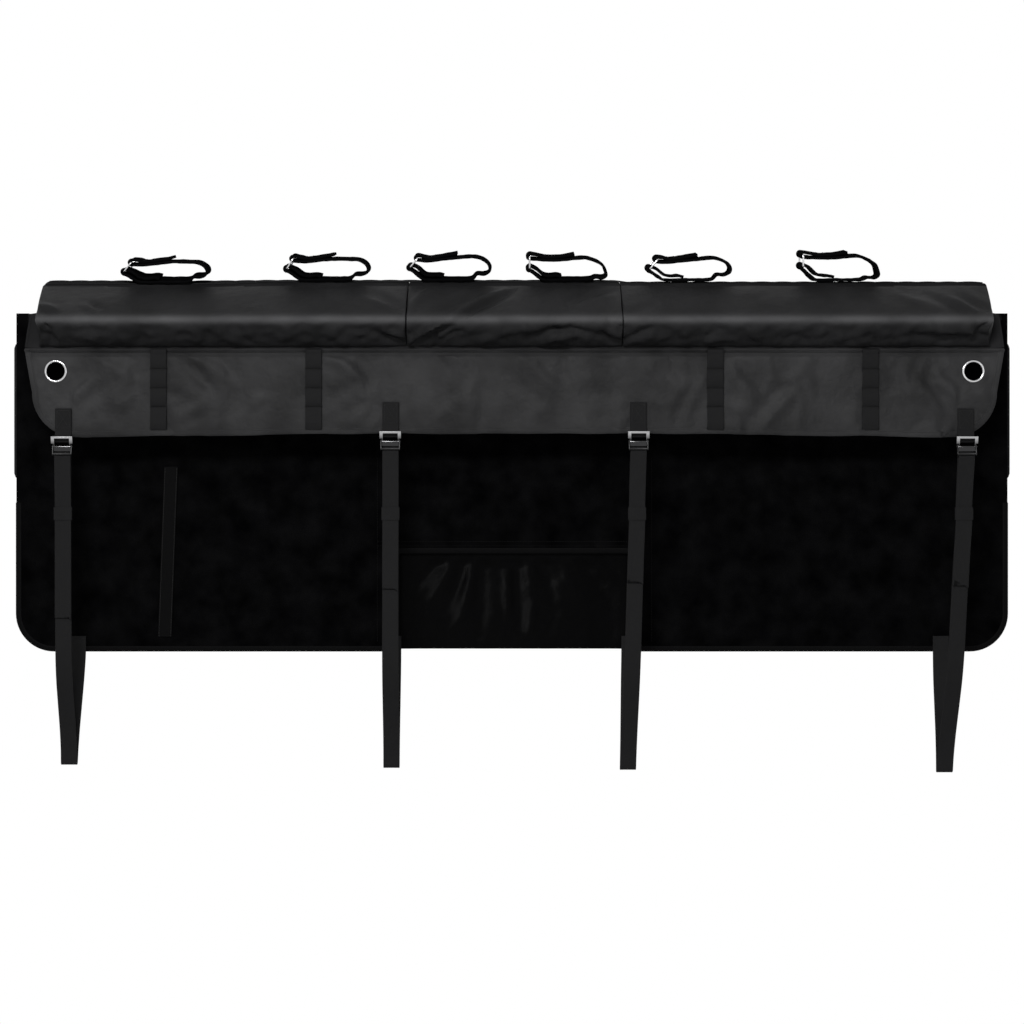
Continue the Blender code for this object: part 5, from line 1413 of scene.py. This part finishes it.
def panel():
    """The long panel: its black lining inside, its coated shell outside, and its tape."""
    columns = [0.0, 0.06, 0.12, NOTCH_HALF]
    columns += between(NOTCH_HALF, PANEL_HALF - 0.02, 70)[1:]
    columns += between(PANEL_HALF - 0.02, PANEL_HALF, 4)[1:]
    columns = sorted(set(columns + between(0, NOTCH_HALF, 22)))
    us = [-u for u in reversed(columns[1:])] + columns
    straight = PANEL_BOTTOM + PANEL_CORNER_R
    vs = between(PANEL_TOP, NOTCH_TOP, 44) + between(NOTCH_TOP, straight, 12)[1:]
    vs += [straight - PANEL_CORNER_R * math.sin(t) for t in between(0, math.pi / 2, 10)[1:]]
    front, back = [], []
    for z in vs:
        row, rear = [], []
        for u in us:
            share = smooth_step((abs(u) - PANEL_HALF + PANEL_CORNER_SPREAD) / PANEL_CORNER_SPREAD)
            x = u - math.copysign(panel_inset(z) * share, u)
            edge = min(PANEL_HALF - panel_inset(z) - abs(x), z - PANEL_BOTTOM)
            edge = min(edge, max(abs(x) - NOTCH_HALF, z - NOTCH_TOP))
            free = smooth_step((edge - 0.010) / 0.05)
            dent = 0.0022 * ripple(x, z, 0.11, 4.0) + 0.0010 * ripple(x, z, 0.045, 7.0)
            seam_line = math.exp(-((abs(x) - ACCESS_HALF) / 0.004) ** 2)
            dent += 0.0016 * (seam_line * smooth_step((-0.20 - z) / 0.03))
            rise = SHOULDER_RISE * smooth_step((abs(u) - 0.750) / 0.018) * smooth_step((z + 0.045) / 0.05)
            px, pz = panel_x(x), z + rise
            row.append((px, LINING + 0.0010 * free + dent * free, pz))
            swell = 0.0012 * ripple(x, z, 0.09, 8.0) * free
            swell *= smooth_step((BOLSTER_BOTTOM - 0.01 - z) / 0.03)
            rear.append((px, LINING + panel_thickness(x, z) + swell, pz))
        front.append(row)
        back.append(rear)

    def keep(u, z):
        return abs(u) > NOTCH_HALF or z > NOTCH_TOP

    obj = slab("panel", us, vs, front, back, [SUEDE, SHELL], keep=keep)
    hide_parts("outer_panel")
    middle = LINING + PANEL_RIM_T / 2
    half = [(PANEL_HALF, z) for z in between(BOLSTER_BOTTOM - 0.034, straight, 20)]
    centre = (PANEL_HALF - PANEL_CORNER_R, straight)
    half += arc(centre, PANEL_CORNER_R, 0, -90, 14)[1:]
    half += [(x, PANEL_BOTTOM) for x in between(PANEL_HALF - PANEL_CORNER_R, NOTCH_HALF + 0.003, 60)[1:]]
    half += arc((NOTCH_HALF + 0.003, PANEL_BOTTOM + 0.003), 0.003, 270, 180, 3)[1:]
    half += [(NOTCH_HALF, z) for z in between(PANEL_BOTTOM + 0.003, NOTCH_TOP - 0.002, 18)[1:]]
    half += [(x, NOTCH_TOP) for x in between(NOTCH_HALF - 0.002, 0, 18)]
    path = half + [(-x, z) for x, z in reversed(half[:-1])]
    path = [(panel_x(x), z) for x, z in path]
    tape = edge_tape("panel_tape", [(x, middle, z) for x, z in path], PANEL_RIM_T, TAPE)
    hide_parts("panel_binding")
    runs = []
    for side in (-1, 1):
        heights = between(LINING_SEAM_TOP, PANEL_BOTTOM + 0.01, 40)
        line = [(side * ACCESS_HALF, LINING - THREAD_OFF, z) for z in heights]
        runs += seam(line, (0, -1, 0))
    for drop in NOTCH_SEAMS:
        height = NOTCH_TOP + BINDING_W + drop
        line = [(x, LINING - THREAD_OFF, height) for x in between(-ACCESS_HALF, ACCESS_HALF, 40)]
        runs += seam(line, (0, -1, 0))
    stitches("lining_stitches", runs, THREAD_AND_SHADE)


# Folds in the access flap, told as the pods' folds.
ACCESS_FOLDS = (
    (-1200, -3720, -1680, -4300, 40, 90, 40), (-980, -3720, -1400, -4500, 60, 80, -36),
    (-780, -3720, -1180, -4700, 60, 90, 44), (-660, -3850, -980, -5000, 40, 80, -40),
    (-500, -3700, -580, -5100, 20, 120, 38), (-120, -4000, -100, -4800, 0, 60, -44),
    (20, -3720, 100, -5050, 0, 90, 34), (220, -3700, 300, -4400, 0, 90, -40),
    (300, -4400, 240, -5100, 0, 80, -36), (440, -3700, 640, -4500, 0, 100, 46),
    (640, -4500, 500, -5050, 0, 90, 24), (720, -3720, 1000, -4400, 0, 90, -36),
    (1000, -3720, 1500, -4400, 0, 90, 36), (1260, -3720, 1720, -4200, 0, 80, -30),
)


def access_flap():
    """The thin flap over the notch, with folds that fan out from its gathered top."""
    us = between(-ACCESS_HALF, ACCESS_HALF, 100)
    vs = between(ACCESS_TOP, ACCESS_BOTTOM, 44)
    near = RIM_BACK + BINDING_OUT + 2 * GAP
    places = np.array([(x, z) for z in vs for x in us])
    folds = fold_heights(places, ACCESS_FOLDS).reshape(len(vs), len(us))
    front = []
    for j, z in enumerate(vs):
        row = []
        for i, x in enumerate(us):
            inside = smooth_step((NOTCH_HALF - 0.006 - abs(x)) / 0.03)
            below = smooth_step((NOTCH_TOP - 0.002 - z) / 0.02)
            wave = 0.0032 + folds[j][i] + 0.0010 * ripple(x, z, 0.02, 3.0)
            row.append((x, near + 0.0004 * below + max(wave, 0.0) * inside * below, z))
        front.append(row)
    front = np.array(front)
    obj = slab("access_cloth", us, vs, front, front + np.array([0, ACCESS_T, 0]), [SATIN])
    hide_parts("access_flap")
    rows = []
    for z in (ACCESS_TOP - 0.004, NOTCH_TOP + 0.008):
        xs = between(-ACCESS_HALF + 0.004, ACCESS_HALF - 0.004, 40)
        rows += seam([(x, near + ACCESS_T + 0.0006, z) for x in xs], (0, 1, 0))
    stitches("access_stitches", rows, THREAD_AND_SHADE)


def hook_strips():
    """The hook tape under the sides of the access flap."""
    inner = NOTCH_HALF + BINDING_W + 0.002
    for name, side in (("left", -1), ("right", 1)):
        low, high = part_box(f"hook_strip_{name}")
        x, y = side * (inner + HOOK_W / 2), (low[1] + high[1]) / 2
        points = [(x, y, z) for z in between(low[2], high[2], 12)]
        obj = strap(f"hooks_{name}", points, (1, 0, 0), HOOK_W, high[1] - low[1], HOOKS)
        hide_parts(f"hook_strip_{name}")


def seam_tape():
    """The tape over the lining's seam, with its stitched edges."""
    low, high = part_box("seam_tape")
    y = (low[1] + high[1]) / 2
    xs = between(SEAM_TAPE_X - SEAM_TAPE_LEAN / 2, SEAM_TAPE_X + SEAM_TAPE_LEAN / 2, 20)
    zs = between(SEAM_TAPE_BOTTOM + BINDING_W, SEAM_TAPE_TOP, 20)
    points = [(x, y - 0.0004, z) for x, z in zip(xs, zs)]
    obj = strap("lining_tape", points, (1, 0, 0), SEAM_TAPE_W, high[1] - low[1], TAPE)
    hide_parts("seam_tape")
    runs = []
    for edge in (-0.42, 0.42):
        line = [(x + SEAM_TAPE_W * edge, low[1] - 0.0005, z) for x, z in zip(xs, zs)]
        runs += seam(line, (0, -1, 0))
    stitches("lining_tape_stitches", runs, PALE_THREAD)


def bolster():
    """The band of three padded channels across the outer face, puffed up as cloth."""
    taper = BOLSTER_HALF - BOLSTER_END
    half = between(0, taper, 75) + between(taper, BOLSTER_HALF, 10)[1:]
    us = [-u for u in reversed(half[1:])] + half
    edges = (BOLSTER_TOP, *BOLSTER_CHANNELS, BOLSTER_BOTTOM)
    vs = []
    for top, low in zip(edges, edges[1:]):
        vs += between(top, low, 12)[:-1]
    vs.append(BOLSTER_BOTTOM)
    front, back, held = [], [], []
    for z in vs:
        row, rear, pins = [], [], []
        for u in us:
            near = min(BOLSTER_TOP - z, z - BOLSTER_BOTTOM)
            radius = BOLSTER_CORNER_R
            tuck = radius - math.sqrt(max(radius**2 - max(radius - near, 0) ** 2, 0))
            x = u - math.copysign(tuck, u) * smooth_step(8 * abs(u) / BOLSTER_HALF - 7)
            side = math.sqrt(min((BOLSTER_HALF - abs(u)) / BOLSTER_END, 1.0))
            puff = 0.0
            for top, low in zip(edges, edges[1:]):
                if low <= z <= top:
                    puff = max(puff, math.sin(math.pi * min(max((top - z) / (top - low), 0), 1)) ** 0.6)
            on_seam = min(abs(z - e) for e in edges) < 1e-6
            at_end = min(BOLSTER_TOP - z, z - BOLSTER_BOTTOM) < 1e-6
            valley = BOLSTER_RIM_T if at_end else BOLSTER_T - BOLSTER_CHANNEL_DEPTH - BOLSTER_SLACK
            thick = valley + (BOLSTER_T - BOLSTER_SLACK - valley) * puff
            thick = BOLSTER_RIM_T + (thick - BOLSTER_RIM_T) * side
            row.append((panel_x(x), PANEL_BACK + GAP, z))
            rear.append((panel_x(x), PANEL_BACK + GAP + thick, z))
            pins.append(on_seam or abs(u) == BOLSTER_HALF)
        front.append(row)
        back.append(rear)
        held.append(pins)
    back = settle(np.array(back), np.array(held), -0.05, 2.5, BOLSTER_PUFF)
    limit = PANEL_BACK + GAP + BOLSTER_T + BOLSTER_PUFF
    back[:, :, 1] = np.clip(back[:, :, 1], PANEL_BACK + GAP + 0.004, limit)
    obj = slab("bolster", us, vs, np.array(front), back, [SHELL])
    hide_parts("outer_bolster")
    runs = []
    for z in BOLSTER_CHANNELS:
        row = back[min(range(len(vs)), key=lambda k: abs(vs[k] - z))]
        runs += seam([p + np.array([0, THREAD_OFF, 0]) for p in row[6:-6]], (0, 1, 0))
    stitches("bolster_stitches", runs, THREAD_AND_SHADE)


def seen_white(tree):
    """1 for the camera's rays and for what metal mirrors, 0 for the light on the object."""
    rays = tree.nodes.new("ShaderNodeLightPath")
    first = tree.nodes.new("ShaderNodeMath")
    both = tree.nodes.new("ShaderNodeMath")
    first.operation = both.operation = "MAXIMUM"
    tree.links.new(rays.outputs["Is Camera Ray"], first.inputs[0])
    tree.links.new(rays.outputs["Is Glossy Ray"], first.inputs[1])
    tree.links.new(rays.outputs["Is Transmission Ray"], both.inputs[0])
    tree.links.new(first.outputs[0], both.inputs[1])
    return both.outputs[0]


def show_white(tree, lit, white, out):
    """Gives out one shader to light the object with, and the other where a view is seen."""
    mix = tree.nodes.new("ShaderNodeMixShader")
    for value, socket in zip((seen_white(tree), lit, white), mix.inputs):
        tree.links.new(value, socket)
    tree.links.new(mix.outputs[0], out)


def world():
    """White behind the object, and soft studio light from all round."""
    scene = bpy.context.scene
    scene.world = bpy.data.worlds.new("studio")
    scene.world.use_nodes = True
    tree = scene.world.node_tree
    tree.nodes.clear()
    out = tree.nodes.new("ShaderNodeOutputWorld")
    skies = []
    for strength in (WORLD_LIGHT, 1.0):
        sky = tree.nodes.new("ShaderNodeBackground")
        sky.inputs["Color"].default_value = (1, 1, 1, 1)
        sky.inputs["Strength"].default_value = strength
        skies.append(sky.outputs[0])
    show_white(tree, *skies, out.inputs[0])


def floor():
    """A pale floor under the straps, plain white where the camera looks at it."""
    mesh = bpy.data.meshes.new("floor")
    corners = [(x * FLOOR_HALF, y * FLOOR_HALF, FLOOR_Z) for x, y in ((-1, -1), (1, -1), (1, 1), (-1, 1))]
    mesh.from_pydata(corners, [], [(0, 1, 2, 3)])
    obj = bpy.data.objects.new("floor", mesh)
    bpy.context.collection.objects.link(obj)
    mat = bpy.data.materials.new("floor")
    mat.use_nodes = True
    tree = mat.node_tree
    shader = tree.nodes["Principled BSDF"]
    shader.inputs["Base Color"].default_value = (0.8, 0.8, 0.8, 1)
    shader.inputs["Roughness"].default_value = 0.9
    glow = tree.nodes.new("ShaderNodeEmission")
    show_white(tree, shader.outputs[0], glow.outputs[0], tree.nodes["Material Output"].inputs[0])
    mesh.materials.append(mat)


def lamp(name, place, aim, wide, tall, watts):
    """A rectangular soft light."""
    data = bpy.data.lights.new(name, "AREA")
    data.shape = "RECTANGLE"
    data.size, data.size_y, data.energy = wide, tall, watts
    obj = bpy.data.objects.new(name, data)
    obj.location = place
    obj.rotation_euler = (Vector(aim) - Vector(place)).to_track_quat("-Z", "Y").to_euler()
    bpy.context.collection.objects.link(obj)


def lights():
    lamp("key", (-0.8, -3.4, 1.55), (0, 0, -0.10), 1.6, 0.6, 150)
    lamp("fill", (2.2, -2.8, 0.2), (0, 0, -0.25), 0.8, 1.2, 8)
    lamp("top", (0.2, 0.4, 2.4), (0, 0, 0), 2.4, 0.9, 8)
    lamp("back", (0.6, 3.2, 1.2), (0, 0, -0.2), 2.0, 1.0, 90)


def camera():
    """Level, square on to the flap's plane."""
    data = bpy.data.cameras.new("camera")
    data.sensor_fit = "HORIZONTAL"
    data.sensor_width = SENSOR
    data.lens = SENSOR * CAMERA_DISTANCE / PICTURE_WIDTH
    obj = bpy.data.objects.new("camera", data)
    obj.location = AIM - Vector((0, CAMERA_DISTANCE, 0))
    obj.rotation_euler = (math.pi / 2, 0, 0)
    bpy.context.collection.objects.link(obj)
    bpy.context.scene.camera = obj


def dress():
    camera()
    world()
    floor()
    lights()
    bpy.context.scene.view_settings.view_transform = "Standard"
    pods()
    saddle()
    tree = flap()
    for side in ("left", "right"):
        grommet(f"grommet_{side}", GROMMET_X if side == "right" else -GROMMET_X)
    for i in range(4):
        daisy_webbing(i, tree)
        buckle(i)
        buckle_tab(i)
        tie_strap(i)
        keeper(i)
    rail()
    for i in range(len(CRADLE_SHARE)):
        cradle(i)
    panel()
    access_flap()
    hook_strips()
    seam_tape()
    bolster()


dress()
